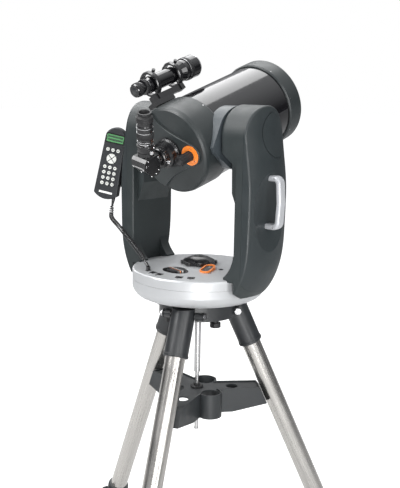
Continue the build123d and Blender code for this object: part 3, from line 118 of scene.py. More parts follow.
# ---------------------------------------------------------------- materials
class Nodes:
    """A short way to build one material's node tree."""

    def __init__(self, name):
        self.material = bpy.data.materials.new(name)
        self.material.use_nodes = True
        self.tree = self.material.node_tree
        self.shader = self.tree.nodes["Principled BSDF"]
        self.place = self.add("ShaderNodeTexCoord").outputs["Object"]

    def add(self, kind, **settings):
        node = self.tree.nodes.new(kind)
        for key, value in settings.items():
            setattr(node, key, value)
        return node

    def link(self, source, target):
        self.tree.links.new(source, target)

    def noise(self, scale, detail=3.0, place=None):
        node = self.add("ShaderNodeTexNoise")
        node.inputs["Scale"].default_value = scale
        node.inputs["Detail"].default_value = detail
        self.link(place or self.place, node.inputs["Vector"])
        return node.outputs["Fac"]

    def spread(self, value, low, high):
        """Noise, which stays near its middle, opened out to run from low to high."""
        node = self.add("ShaderNodeMapRange")
        for socket, number in zip(("From Min", "From Max", "To Min", "To Max"), (0.3, 0.7, low, high)):
            node.inputs[socket].default_value = number
        self.link(value, node.inputs["Value"])
        return node.outputs["Result"]

    def ramp(self, value, stops, interpolation="LINEAR"):
        node = self.add("ShaderNodeValToRGB")
        node.color_ramp.interpolation = interpolation
        elements = node.color_ramp.elements
        while len(elements) < len(stops):
            elements.new(0.5)
        for element, (position, color) in zip(elements, stops):
            element.position = position
            element.color = (*color, 1)
        self.link(value, node.inputs["Fac"])
        return node.outputs["Color"]

    def measure(self, direction, origin=Vector((0, 0, 0))):
        """The distance of a point along a direction from an origin, in metres."""
        shift = self.add("ShaderNodeVectorMath", operation="SUBTRACT")
        self.link(self.place, shift.inputs[0])
        shift.inputs[1].default_value = origin
        dot = self.add("ShaderNodeVectorMath", operation="DOT_PRODUCT")
        self.link(shift.outputs[0], dot.inputs[0])
        dot.inputs[1].default_value = direction
        return dot.outputs["Value"]

    def math(self, operation, a, b=None):
        node = self.add("ShaderNodeMath", operation=operation)
        for socket, value in zip(node.inputs, (a, b)):
            if value is None:
                continue
            if isinstance(value, (int, float)):
                socket.default_value = value
            else:
                self.link(value, socket)
        return node.outputs[0]

    def bump(self, height, strength, distance=0.0004, after=None):
        node = self.add("ShaderNodeBump")
        node.inputs["Strength"].default_value = strength
        node.inputs["Distance"].default_value = distance
        self.link(height, node.inputs["Height"])
        if after:
            self.link(after, node.inputs["Normal"])
        self.link(node.outputs["Normal"], self.shader.inputs["Normal"])
        return node.outputs["Normal"]


def shade(color, factor):
    return tuple(min(1.0, c * factor) for c in color)


def finish(name, color, roughness, metallic=0.0, vary=0.12, grain=900.0, grain_depth=0.12, smudge=0.08,
           coat=0.0, specular=0.5, dust=0.0):
    """A painted, moulded or metal surface: tone that drifts, uneven gloss, a fine grain and a little dust."""
    n = Nodes(name)
    n.shader.inputs["Metallic"].default_value = metallic
    n.shader.inputs["Coat Weight"].default_value = coat
    n.shader.inputs["Coat Roughness"].default_value = 0.05
    n.shader.inputs["Specular IOR Level"].default_value = specular
    tone = n.ramp(n.noise(9, 4), [(0.3, shade(color, 1 - vary)), (0.5, color), (0.7, shade(color, 1 + vary))])
    if dust:
        mix = n.add("ShaderNodeMix", data_type="RGBA")
        facing = n.add("ShaderNodeNewGeometry")
        split = n.add("ShaderNodeSeparateXYZ")
        n.link(facing.outputs["Normal"], split.inputs[0])
        upward = n.math("MAXIMUM", split.outputs["Z"], 0.0)
        n.link(n.math("MULTIPLY", n.math("MULTIPLY", upward, dust), n.spread(n.noise(35, 6), 0.4, 1.0)),
               mix.inputs["Factor"])
        n.link(tone, mix.inputs["A"])
        mix.inputs["B"].default_value = (0.42, 0.42, 0.4, 1)
        tone = mix.outputs["Result"]
    n.link(tone, n.shader.inputs["Base Color"])
    n.link(n.spread(n.noise(26, 5), roughness - smudge, roughness + smudge), n.shader.inputs["Roughness"])
    n.bump(n.noise(grain, 2), grain_depth)
    return n.material


def brushed(name, direction, color=(0.63, 0.61, 0.58), roughness=0.24):
    """Polished steel with fine lines along a direction."""
    n = Nodes(name)
    side = direction.orthogonal().normalized()
    other = direction.cross(side)
    join = n.add("ShaderNodeCombineXYZ")
    for socket, (axis, scale) in zip(join.inputs, ((side, 700), (other, 700), (direction, 9))):
        n.link(n.math("MULTIPLY", n.measure(axis), scale), socket)
    lines = n.noise(1.0, 3, join.outputs[0])
    n.shader.inputs["Metallic"].default_value = 1.0
    tone = n.ramp(lines, [(0.3, shade(color, 0.9)), (0.7, shade(color, 1.06))])
    n.link(tone, n.shader.inputs["Base Color"])
    wide = n.spread(n.noise(14, 4), -0.05, 0.06)
    fine = n.spread(lines, roughness - 0.05, roughness + 0.06)
    n.link(n.math("ADD", wide, fine), n.shader.inputs["Roughness"])
    n.bump(lines, 0.08, 0.0002)
    return n.material


def clear_glass(name, tint, coating):
    """Coated optical glass with faint dust."""
    n = Nodes(name)
    n.shader.inputs["Transmission Weight"].default_value = 1.0
    n.shader.inputs["IOR"].default_value = 1.5
    n.shader.inputs["Coat Weight"].default_value = coating
    n.shader.inputs["Coat Roughness"].default_value = 0.02
    n.shader.inputs["Coat Tint"].default_value = (0.75, 0.95, 0.8, 1)
    n.link(n.ramp(n.noise(12, 3), [(0.3, shade(tint, 0.97)), (0.7, tint)]), n.shader.inputs["Base Color"])
    n.link(n.spread(n.noise(60, 6), 0.0, 0.03), n.shader.inputs["Roughness"])
    return n.material


M = {
    "casting": finish("casting", (0.014, 0.016, 0.018), 0.38, grain=700, grain_depth=0.22, dust=0.03,
                      specular=0.7),
    "dark_steel": finish("dark_steel", (0.5, 0.5, 0.51), 0.28, 1.0, grain=1500),
    "black_plastic": finish("black_plastic", (0.012, 0.012, 0.013), 0.45, grain=1100, grain_depth=0.2),
    "steel": brushed("steel", UP, (0.6, 0.6, 0.6), 0.28),
    "bare_metal": finish("bare_metal", (0.5, 0.5, 0.51), 0.35, 1.0, grain=1400),
    "brass": finish("brass", (0.7, 0.5, 0.2), 0.3, 1.0, grain=1400),
    "tray_plastic": finish("tray_plastic", (0.024, 0.027, 0.029), 0.42, grain=800, grain_depth=0.25,
                           dust=0.05),
    "silver_paint": finish("silver_paint", (0.50, 0.51, 0.52), 0.4, 0.35, vary=0.05, grain=1600,
                           grain_depth=0.1, coat=0.15),
    "orange_plastic": finish("orange_plastic", (0.9, 0.24, 0.03), 0.3, vary=0.08, grain=900, grain_depth=0.06,
                             coat=0.3),
    # the slot's name is the CAD model's; the lock knobs are gloss black
    "silver_knob": finish("silver_knob", (0.008, 0.008, 0.009), 0.3, vary=0.1, grain=900, coat=0.35),
    "arm_paint": finish("arm_paint", (0.021, 0.027, 0.028), 0.44, vary=0.1, grain=1000, grain_depth=0.3,
                        dust=0.03),
    "arm_plastic": finish("arm_plastic", (0.020, 0.026, 0.028), 0.42, vary=0.1, grain=1000, grain_depth=0.3,
                          dust=0.03),
    "handle_silver": finish("handle_silver", (0.5, 0.51, 0.53), 0.38, 0.3, vary=0.05, grain=1500, coat=0.15),
    "gloss_black": finish("gloss_black", (0.004, 0.004, 0.005), 0.14, vary=0.2, grain=300, grain_depth=0.01,
                          smudge=0.05, coat=0.7),
    "cell_paint": finish("cell_paint", (0.022, 0.027, 0.028), 0.38, vary=0.1, grain=1000, grain_depth=0.25,
                         dust=0.03),
    "glass": clear_glass("glass", (0.96, 0.99, 0.97), 0.6),
    "black_metal": finish("black_metal", (0.008, 0.008, 0.009), 0.26, 0.0, vary=0.25, grain=1200,
                          grain_depth=0.06, smudge=0.1, specular=0.7),
    "mirror": finish("mirror", (0.93, 0.93, 0.93), 0.03, 1.0, vary=0.01, grain=50, grain_depth=0.0,
                     smudge=0.01),
    "black_rubber": finish("black_rubber", (0.010, 0.010, 0.011), 0.6, grain=1300, grain_depth=0.3,
                           dust=0.04),
    "bracket_paint": finish("bracket_paint", (0.045, 0.055, 0.062), 0.38, vary=0.08, grain=900,
                            grain_depth=0.2),
    "control_plastic": finish("control_plastic", (0.016, 0.018, 0.021), 0.5, grain=1000, grain_depth=0.35),
    "display": finish("display", (0.10, 0.30, 0.12), 0.2, vary=0.1, grain=2500, grain_depth=0.05, coat=0.6),
    "keys": finish("keys", (0.62, 0.63, 0.60), 0.5, vary=0.05, grain=1400, grain_depth=0.15),
    "cord_black": finish("cord_black", (0.006, 0.006, 0.007), 0.24, vary=0.2, grain=800, grain_depth=0.05,
                         coat=0.5),
    "leg_steel": brushed("leg_steel", -along("leg_a_extend")),
    "chrome": finish("chrome", (0.82, 0.82, 0.83), 0.12, 1.0, vary=0.03, grain=600, grain_depth=0.02,
                     smudge=0.04),
    "white_print": finish("white_print", (0.75, 0.75, 0.73), 0.5, vary=0.04),
    "gold": finish("gold", (0.85, 0.6, 0.25), 0.25, 1.0, vary=0.05),
    "lens_dark": finish("lens_dark", (0.004, 0.006, 0.008), 0.05, vary=0.2, grain=50, grain_depth=0.0,
                        smudge=0.02, coat=1.0),
}
for leg in "abc":
    M[f"steel_{leg}"] = brushed(f"leg_steel_{leg}", along(f"leg_{leg}_extend"))

BADGE_BLACK, BADGE_ORANGE, BADGE_WHITE = (0.008, 0.008, 0.009), (0.9, 0.26, 0.04), (0.72, 0.72, 0.7)


def badge_material():
    """Black gloss with two plain slanting stripes."""
    n = Nodes("badge")
    n.shader.inputs["Coat Weight"].default_value = 0.6
    n.shader.inputs["Coat Roughness"].default_value = 0.05
    across = n.measure(Vector((0.25, 0.97, 0)), near_base(6, -96, 0))
    stripes = n.ramp(n.math("ADD", n.math("MULTIPLY", across, 20.0), 0.5),
                     [(0.0, BADGE_BLACK), (0.44, BADGE_ORANGE), (0.48, BADGE_BLACK), (0.54, BADGE_WHITE),
                      (0.60, BADGE_BLACK)], "CONSTANT")
    n.link(stripes, n.shader.inputs["Base Color"])
    n.link(n.spread(n.noise(40, 5), 0.2, 0.36), n.shader.inputs["Roughness"])
    n.bump(n.noise(900), 0.05)
    return n.material


M["badge"] = badge_material()

# every CAD node gets the material of its slot
for part in frame["record"]["subparts"]:
    mesh = nodes[part["node"]].data
    mesh.materials.clear()
    mesh.materials.append(M[part["material_slot"]])


def paint(node, material, chosen):
    """Gives another material to the faces of a CAD node that a test picks by centre and normal."""
    mesh = nodes[node].data
    mesh.materials.append(M[material])
    index = len(mesh.materials) - 1
    for polygon in mesh.polygons:
        if chosen(polygon.center, polygon.normal):
            polygon.material_index = index


OUTER_TUBE_RADIUS, OUTER_TUBE_END = 25.9, 760.2
INNER_TUBE_RADIUS, INNER_TUBE_END = 19.6, 794


def leg_line(leg):
    """Where a leg's telescoping axis starts and which way it points."""
    return at(f"leg_{leg}_extend"), along(f"leg_{leg}_extend")


def beyond(leg, radius, end):
    """A test for the faces of a leg that lie outside a radius or past a distance, in millimetres."""
    root, down = leg_line(leg)

    def test(p, normal):
        s = (p - root).dot(down)
        return s * 1000 > end or (p - root - down * s).length * 1000 > radius
    return test


for leg in "abc":
    nodes[f"leg_{leg}_tube"].data.materials[0] = M[f"steel_{leg}"]
    nodes[f"leg_{leg}_inner"].data.materials[0] = M[f"steel_{leg}"]
    paint(f"leg_{leg}_tube", "tray_plastic", beyond(leg, OUTER_TUBE_RADIUS, OUTER_TUBE_END))
    paint(f"leg_{leg}_inner", "black_rubber", beyond(leg, INNER_TUBE_RADIUS, INNER_TUBE_END))


# ---------------------------------------------------------------- mesh helpers
def sides(axis):
    """Two directions square to an axis and to each other."""
    first = axis.orthogonal().normalized() if abs(axis.z) > 0.99 else UP.cross(axis).normalized()
    return first, axis.cross(first)


def lathe(bm, origin, axis, profile, segments=48, teeth=0, depth=0.0):
    """Turns a closed profile of (distance, radius) in millimetres; teeth cut grooves into its outside."""
    first, second = sides(axis)
    if teeth:
        segments = teeth * 4
    inner = min(r for s, r in profile)
    rings = []
    for s, r in profile:
        ring = []
        for i in range(segments):
            angle = 2 * math.pi * i / segments
            cut = depth if teeth and i % 4 in (0, 3) and r > inner + 0.01 else 0.0
            ring.append(bm.verts.new(origin + axis * s * MM
                                     + (first * math.cos(angle) + second * math.sin(angle)) * (r - cut) * MM))
        rings.append(ring)
    for a, b in zip(rings, rings[1:] + rings[:1]):
        for i in range(segments):
            j = (i + 1) % segments
            bm.faces.new((a[i], b[i], b[j], a[j]))
    bmesh.ops.remove_doubles(bm, verts=[v for ring in rings for v in ring], dist=1e-7)


def prism(bm, origin, x, y, outline, height, bevel=0.0):
    """Raises an outline in millimetres off a plane, with its upper edges eased."""
    z = x.cross(y)
    base = [bm.verts.new(origin + (x * a + y * b) * MM) for a, b in outline]
    top = [bm.verts.new(origin + (x * a + y * b + z * height) * MM) for a, b in outline]
    bm.faces.new(base[::-1])
    cap = bm.faces.new(top)
    for i in range(len(outline)):
        j = (i + 1) % len(outline)
        bm.faces.new((base[i], base[j], top[j], top[i]))
    if bevel:
        bmesh.ops.bevel(bm, geom=list(cap.edges), offset=bevel * MM, segments=2, profile=0.6, affect="EDGES")


def rounded(width, height, radius, centre=(0.0, 0.0), steps=5):
    """The outline of a rectangle with rounded corners."""
    points = []
    for quarter, (sx, sy) in enumerate(((1, 1), (-1, 1), (-1, -1), (1, -1))):
        for k in range(steps + 1):
            angle = math.pi / 2 * (quarter + k / steps)
            points.append((centre[0] + sx * (width / 2 - radius) + radius * math.cos(angle),
                           centre[1] + sy * (height / 2 - radius) + radius * math.sin(angle)))
    return points


def screw(bm, origin, axis, radius, height):
    """A socket-head screw."""
    lathe(bm, origin, axis, [(-1, 0), (-1, radius), (height - 0.3, radius), (height, radius - 0.3),
                             (height, radius * 0.55), (height * 0.35, radius * 0.5), (height * 0.35, 0)], 18)


def thumbscrew(bm, origin, axis, reach, radius, length):
    """A screw with a knurled head that stands off by its reach."""
    lathe(bm, origin, axis, [(0, 0), (0, 1.6), (reach, 1.6), (reach, 0)], 14)
    end = reach + length
    lathe(bm, origin, axis, [(reach - 0.5, 0), (reach - 0.5, radius - 0.6), (reach + 0.4, radius),
                             (end - 0.6, radius), (end, radius - 0.8), (end, 0)], teeth=14, depth=0.5)


def piece(name, build, material, body, smooth=32):
    """Makes a piece from a function that fills a bmesh, and sets it on a body."""
    bm = bmesh.new()
    build(bm)
    bmesh.ops.recalc_face_normals(bm, faces=bm.faces)
    mesh = bpy.data.meshes.new(name)
    bm.to_mesh(mesh)
    bm.free()
    mesh.polygons.foreach_set("use_smooth", [True] * len(mesh.polygons))
    mesh.set_sharp_from_angle(angle=math.radians(smooth))
    mesh.materials.append(M[material])
    obj = bpy.data.objects.new(name, mesh)
    bpy.context.scene.collection.objects.link(obj)
    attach(obj, body)
    return obj


# ---------------------------------------------------------------- curly cord
CONTROL_EXIT = CONTROL - CONTROL_UP * 100 * MM + CONTROL_RIGHT * 22 * MM
CORD_ROUTE = [CONTROL_EXIT - CONTROL_UP * 0.6 * MM, CONTROL_EXIT - CONTROL_UP * 34 * MM,
              near_base(-246, -86, 110), near_base(-207, -97, 96), near_base(-163, -107, 73),
              near_base(-120, -119, 52), near_base(-86, -128, 37), near_base(-63, -134, 20)]
WIRE, COIL, PITCH = 3.2 * MM, 4.9 * MM, 6.2 * MM


def spline_mesh(points, resolution, wire=0.0):
    """The mesh of a smooth line, or of a cord that thick, through a row of control points."""
    data = bpy.data.curves.new("spline", "CURVE")
    data.dimensions = "3D"
    spline = data.splines.new("NURBS")
    spline.points.add(len(points) - 1)
    for point, place in zip(spline.points, points):
        point.co = (*place, 1)
    spline.order_u = 3
    spline.use_endpoint_u = True
    spline.resolution_u = resolution
    data.bevel_depth = wire / 2
    data.bevel_resolution = 3
    data.use_fill_caps = True
    obj = bpy.data.objects.new("spline", data)
    mesh = bpy.data.meshes.new_from_object(obj)
    bpy.data.objects.remove(obj)
    return mesh


line = [v.co.copy() for v in spline_mesh(CORD_ROUTE, 12).vertices]
lengths = [0.0]
for a, b in zip(line, line[1:]):
    lengths.append(lengths[-1] + (b - a).length)


def on_line(s):
    """The point and direction at a distance along the cord's line."""
    s = min(max(s, 0.0), lengths[-1])
    i = min(max(int(np.searchsorted(lengths, s)) - 1, 0), len(line) - 2)
    t = (s - lengths[i]) / (lengths[i + 1] - lengths[i])
    return line[i].lerp(line[i + 1], t), (line[i + 1] - line[i]).normalized()


def coiled(total):
    """Points of a wire that leaves straight, winds round the line, and ends straight."""
    straight, blend_in = 10 * MM, 8 * MM
    steps_per_turn = 12
    count = int((total - 2 * straight) / PITCH * steps_per_turn)
    points = [on_line(straight * k / 4)[0] for k in range(4)]
    for k in range(count + 1):
        s = straight + (total - 2 * straight) * k / count
        centre, direction = on_line(s)
        side = direction.cross(UP).normalized()
        other = side.cross(direction)
        grow = min(1.0, (s - straight) / blend_in, (total - straight - s) / blend_in)
        angle = 2 * math.pi * k / steps_per_turn
        points.append(centre + (side * math.cos(angle) + other * math.sin(angle)) * COIL * max(grow, 0.0))
    points += [on_line(total - straight * (3 - k) / 4)[0] for k in range(4)]
    return points


wire_points = coiled(lengths[-1])
wire_path = [v.co.copy() for v in spline_mesh(wire_points, 3).vertices]
wire_mesh = spline_mesh(wire_points, 3, WIRE)
wire_mesh.polygons.foreach_set("use_smooth", [True] * len(wire_mesh.polygons))
wire_mesh.materials.append(M["cord_black"])
wire = bpy.data.objects.new("curly_cord", wire_mesh)
bpy.context.scene.collection.objects.link(wire)
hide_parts("control_cord")
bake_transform(wire)

# ---------------------------------------------------------------- optics
FRONT_SEAT = 266.5
RIM_SCREWS = 6


def ring_of(count, start=0.0):
    """Directions round the tube, as angles from its right-hand side."""
    for k in range(count):
        yield math.radians(start + 360 * k / count)


def round_tube(angle):
    return RIGHT * math.cos(angle) + TUBE_UP * math.sin(angle)


def retaining_ring(bm):
    lathe(bm, PIVOT, TUBE, [(FRONT_SEAT + 0.2, 101.8), (FRONT_SEAT + 2.6, 102.8), (FRONT_SEAT + 3.0, 103.4),
                            (FRONT_SEAT + 3.0, 105.6), (FRONT_SEAT + 0.2, 105.6)], 96)


def retaining_screws(bm):
    for angle in ring_of(RIM_SCREWS, 30):
        screw(bm, PIVOT + TUBE * (FRONT_SEAT + 3) * MM + round_tube(angle) * 104.4 * MM, TUBE, 1.1, 0.7)


def cell_screws(bm):
    for angle in ring_of(8, 12):
        screw(bm, PIVOT + TUBE * 244 * MM + round_tube(angle) * 115.9 * MM, round_tube(angle), 2.0, 0.15)
    for angle in ring_of(8, 12):
        screw(bm, PIVOT - TUBE * 38 * MM + round_tube(angle) * 113.9 * MM, round_tube(angle), 2.2, 0.4)


def secondary_screws(bm):
    for angle in ring_of(3, 90):
        screw(bm, PIVOT + TUBE * 276.8 * MM + round_tube(angle) * 20 * MM, TUBE, 3.0, 1.6)


piece("corrector_ring", retaining_ring, "black_metal", "ota")
piece("corrector_ring_screws", retaining_screws, "dark_steel", "ota")
piece("cell_screws", cell_screws, "dark_steel", "ota")
piece("secondary_screws", secondary_screws, "dark_steel", "ota")


def visual_back_ribs(bm):
    lathe(bm, PIVOT, -TUBE, [(123.5, 36.4), (123.5, 37.3), (124.2, 37.9), (129.3, 37.9), (130, 37.3),
                             (130, 36.4)], teeth=44, depth=0.9)
    lathe(bm, PIVOT, -TUBE, [(152, 25.4), (152, 26.4), (152.6, 26.9), (161.4, 26.9), (162, 26.4),
                             (162, 25.4)], teeth=32, depth=0.8)


def visual_back_screws(bm):
    for angle in (-14, 106, 226):
        outward = round_tube(math.radians(angle))
        thumbscrew(bm, PIVOT - TUBE * 164.5 * MM + outward * 24 * MM, outward, 8, 4.6, 7)


piece("visual_back_grips", visual_back_ribs, "black_metal", "ota")
piece("visual_back_screws", visual_back_screws, "chrome", "ota")


# ---------------------------------------------------------------- diagonal and eyepiece
DIAGONAL_NORMAL = TUBE.cross(EYEPIECE)
COVER_NORMAL = -(TUBE + EYEPIECE).normalized()
COVER_ALONG = (TUBE - EYEPIECE).normalized()
COVER_ACROSS = COVER_NORMAL.cross(COVER_ALONG)
COVER_MIDDLE = DIAGONAL + (TUBE * -11.5 + EYEPIECE * -11.5) * MM
CHROME_END, EYEPIECE_CUP = 60, 113


def holder_sleeve(bm):
    lathe(bm, DIAGONAL, EYEPIECE, [(36.1, 16.2), (36.1, 18.6), (37, 19.1), (52, 19.1), (53, 18.4),
                                   (53, 16.2)], 56)


def holder_ring(bm):
    lathe(bm, DIAGONAL, EYEPIECE, [(48.5, 18.8), (48.5, 20.2), (49.2, 20.8), (54.2, 20.8), (55, 20.1),
                                   (55, 18.0), (53.2, 18.0)], teeth=40, depth=0.25)


def holder_screw(bm):
    outward = (DIAGONAL_NORMAL - TUBE * 0.35).normalized()
    thumbscrew(bm, DIAGONAL + EYEPIECE * 44 * MM + outward * 18.6 * MM, outward, 7, 4.8, 7)


def diagonal_plate(bm):
    """The cover of the mirror, on the slanting back of the diagonal."""
    prism(bm, COVER_MIDDLE + COVER_NORMAL * 0.1 * MM, COVER_ALONG, COVER_ACROSS, rounded(46, 42, 3), 2.2, 0.5)


def diagonal_screws(bm):
    middle = COVER_MIDDLE + COVER_NORMAL * 2.3 * MM
    for a in (-19, 19):
        for b in (-17, 17):
            screw(bm, middle + (COVER_ALONG * a + COVER_ACROSS * b) * MM, COVER_NORMAL, 2.1, 0.9)
    for side in (-1, 1):
        for a, b in ((21, -15), (21, 19), (-15, 20), (-21, 9), (12, -22)):
            screw(bm, DIAGONAL + (TUBE * a + EYEPIECE * b + DIAGONAL_NORMAL * side * 22) * MM,
                  DIAGONAL_NORMAL * side, 1.7, 0.5)


def eyepiece_grip(bm):
    lathe(bm, DIAGONAL, EYEPIECE, [(72, 19.3), (72, 20.0), (72.7, 20.4), (84.3, 20.4), (85, 20.0),
                                   (85, 19.3)], teeth=46, depth=0.5)


def eyepiece_bands(bm):
    for low, inner, outer in ((64.2, 17.4, 19.4), (87.2, 19.3, 19.75), (99.0, 19.3, 19.75)):
        high = low + 1.0
        lathe(bm, DIAGONAL, EYEPIECE, [(low, inner), (low, outer), (high, outer), (high, inner)], 56)


def eye_cup(bm):
    lathe(bm, DIAGONAL, EYEPIECE, [(113.5, 19.3), (113.5, 20.2), (115, 20.7), (117, 20.0), (119, 20.7),
                                   (121, 20.0), (123, 20.6), (126, 20.1), (127, 19.0), (123, 18.8)], 56)


def eye_lens(bm):
    lathe(bm, DIAGONAL, EYEPIECE, [(126.5, 0), (126.5, 10.8), (127.3, 10.6), (129.0, 6), (129.6, 0)], 40)


piece("diagonal_sleeve", holder_sleeve, "black_metal", "star_diagonal")
piece("diagonal_ring", holder_ring, "black_metal", "star_diagonal")
piece("diagonal_thumbscrew", holder_screw, "chrome", "star_diagonal")
piece("diagonal_cover", diagonal_plate, "black_metal", "star_diagonal")
piece("diagonal_screws", diagonal_screws, "chrome", "star_diagonal")
piece("eyepiece_grip", eyepiece_grip, "black_rubber", "eyepiece")
piece("eyepiece_bands", eyepiece_bands, "chrome", "eyepiece")
piece("eye_cup", eye_cup, "black_rubber", "eyepiece")
piece("eye_lens", eye_lens, "lens_dark", "eyepiece")


def eyepiece_height(p):
    """How far up the eyepiece a point is, in millimetres."""
    return (p - DIAGONAL).dot(EYEPIECE) * 1000


paint("eyepiece", "chrome", lambda p, q: eyepiece_height(p) < CHROME_END)
paint("eyepiece", "black_metal", lambda p, q: CHROME_END <= eyepiece_height(p) < EYEPIECE_CUP)


# ---------------------------------------------------------------- focuser
def focus_cap(bm):
    centre = at("focus_turn")
    tip = max((v.co - centre).dot(-TUBE) for v in nodes["focus_knob"].data.vertices)
    lathe(bm, centre - TUBE * tip, -TUBE, [(-0.3, 0), (-0.3, 8.6), (0.5, 8.2), (0.9, 7.2), (0.9, 0)], 40)


piece("focus_knob_cap", focus_cap, "black_metal", "focus_knob")


def trim_screws(bm):
    for angle in ring_of(3, 75):
        place = on_tube(-122.2, 68, -4) + round_tube(angle) * 19 * MM
        screw(bm, place, -TUBE, 1.7, 1.6)


piece("trim_screws", trim_screws, "dark_steel", "ota")

# ---------------------------------------------------------------- finder
FINDER_ANGLE = math.radians(-31)
FINDER_OUT = TUBE_UP * math.cos(FINDER_ANGLE) + RIGHT * math.sin(FINDER_ANGLE)
FINDER = PIVOT + FINDER_OUT * 175 * MM
FINDER_SIDE = FINDER_OUT.cross(TUBE)


def finder_objective(bm):
    lathe(bm, FINDER, TUBE, [(106.2, 0), (106.2, 24.8), (107.6, 24.6), (109.4, 16), (110.3, 8),
                             (110.6, 0)], 64)


def finder_eye_lens(bm):
    lathe(bm, FINDER, -TUBE, [(110.6, 0), (110.6, 9), (111.6, 8.6), (112.2, 5), (112.4, 0)], 40)


def finder_grips(bm):
    lathe(bm, FINDER, TUBE, [(-106, 16.8), (-106, 17.6), (-105, 18.2), (-94, 18.2), (-93, 17.6), (-93, 16.8)],
          teeth=30, depth=0.7)
    lathe(bm, FINDER, TUBE, [(-81, 18.8), (-81, 19.6), (-80.4, 20.0), (-73.6, 20.0), (-73, 19.6),
                             (-73, 18.8)], teeth=36, depth=0.6)
    lathe(bm, FINDER, TUBE, [(78, 29.3), (78, 30.0), (78.6, 30.4), (87.4, 30.4), (88, 30.0), (88, 29.3)],
          teeth=48, depth=0.5)


def finder_bands(bm):
    for s, r in ((-70.6, 19.1), (46.6, 21.1), (75.6, 29.6), (113, 29.6)):
        lathe(bm, FINDER, TUBE, [(s, r - 0.6), (s, r + 0.15), (s + 0.9, r + 0.15), (s + 0.9, r - 0.6)], 64)


def finder_nuts(bm):
    for place in (-51, 32):
        for turn in (30, 150):
            angle = math.radians(turn)
            outward = FINDER_SIDE * math.cos(angle) + FINDER_OUT * math.sin(angle)
            lathe(bm, FINDER + TUBE * place * MM, outward,
                  [(33.2, 2.1), (33.2, 4.4), (35.6, 4.4), (35.6, 2.1)], 6)


piece("finder_objective", finder_objective, "lens_dark", "ota")
piece("finder_eye_lens", finder_eye_lens, "lens_dark", "ota")
piece("finder_grips", finder_grips, "black_rubber", "ota")
piece("finder_bands", finder_bands, "chrome", "ota")
piece("finder_nuts", finder_nuts, "chrome", "ota")

# ---------------------------------------------------------------- drive base
PORTS = (-101, -91, -68, -56)


def radial_from(azimuth):
    """The level directions away from and round the azimuth axis, at an angle in degrees."""
    angle = math.radians(azimuth)
    return Vector((math.cos(angle), math.sin(angle), 0)), Vector((-math.sin(angle), math.cos(angle), 0))


def port_contacts(bm):
    for azimuth in PORTS:
        outward, across = radial_from(azimuth)
        for k in range(6):
            start = near_base(0, 0, -9.9) + outward * 143.2 * MM + across * (k - 2.5) * 1.27 * MM
            prism(bm, start, outward, across, rounded(6, 0.6, 0.2, (1, 0), 2), 0.8, 0.15)


def on_crown(x, y, lift):
    """A point in millimetres above the crowned top of the base."""
    height = CROWN / MM * (1 - (x * x + y * y) / (BASE_RADIUS - 5) ** 2)
    return near_base(x, y, height + lift)


def decal(bm, centre, turn, outline, lift, hole=0.0):
    """A thin plate that follows the crown of the base, solid or, with a hole, a frame of that inner scale."""
    cos, sin = math.cos(math.radians(turn)), math.sin(math.radians(turn))
    rings = []
    last_low = -0.2 if hole else lift
    for scale, low in ((1.0, -0.2), (1.0, lift), (hole or 0.66, lift), (hole or 0.33, last_low)):
        rings.append([bm.verts.new(on_crown(centre[0] + (a * cos - b * sin) * scale,
                                            centre[1] + (a * sin + b * cos) * scale, low))
                      for a, b in outline])
    for one, other in zip(rings, rings[1:] + (rings[:1] if hole else [])):
        for i in range(len(outline)):
            j = (i + 1) % len(outline)
            bm.faces.new((one[i], one[j], other[j], other[i]))
    if not hole:
        bm.faces.new(rings[-1])
        bm.faces.new(rings[0][::-1])


def port_frames(bm):
    """The black rims round the ports."""
    for azimuth in PORTS:
        outward, _ = radial_from(azimuth)
        decal(bm, (outward.x * 146, outward.y * 146), azimuth, rounded(15.5, 19, 1.6, steps=2), 0.35, 0.82)


def port_marks(bm):
    """A short mark beside each port, and a ring and bar before the switch."""
    for azimuth in PORTS:
        outward, _ = radial_from(azimuth)
        decal(bm, (outward.x * 159, outward.y * 159), azimuth, rounded(2.2, 6, 0.8, steps=2), 0.12)
    decal(bm, (79, -66), 15, rounded(2, 8, 0.8, steps=2), 0.12)
    decal(bm, (89, -59), 15, rounded(8, 8, 3.9, steps=3), 0.12, 0.6)


def badge_surround(bm):
    """The black oval that the badge stands on."""
    outline = [(39 * math.cos(math.radians(a)), 25 * math.sin(math.radians(a))) for a in range(0, 360, 10)]
    decal(bm, (6, -97), 0, outline, 0.5)


def seam_gasket(bm):
    """The dark line between the upper and the lower cover."""
    inner, outer = BASE_RADIUS - 3.8, BASE_RADIUS - 0.8
    lathe(bm, near_base(0, 0, 0), UP, [(-26.5, inner), (-26.5, outer), (-26.1, outer), (-26.1, inner)], 128)


def knob_grips(bm):
    for k in range(8):
        outward, across = radial_from(22.5 + 45 * k)
        start = near_base(0, 0, 17.2) + outward * 41.0 * MM
        prism(bm, start, outward, across, rounded(3.2, 10, 1.4, (0, 0), 4), 0.8, 0.3)


def knob_crown(bm):
    lathe(bm, near_base(0, 0, 0), UP, [(29.9, 0), (29.9, 13), (30.6, 12.4), (31.0, 10), (31.0, 0)], 48)


SWITCH = near_base(65, -40, 0)
SWITCH_ALONG, SWITCH_ACROSS = radial_from(109)
SWITCH_TILT = 0.12


def rocker_marks(bm):
    """A bar at one end of the rocker and a ring at the other."""
    slope = (UP - SWITCH_ALONG * SWITCH_TILT).normalized()
    run = SWITCH_ACROSS.cross(slope)

    def end(place):
        return SWITCH + SWITCH_ALONG * place * MM + UP * (11.0 + SWITCH_TILT * place + 0.05) * MM

    prism(bm, end(-13), run, SWITCH_ACROSS, rounded(4.2, 0.9, 0.4), 0.25, 0.08)
    lathe(bm, end(13), slope, [(0, 1.6), (0, 2.3), (0.25, 2.3), (0.25, 1.6)], 28)


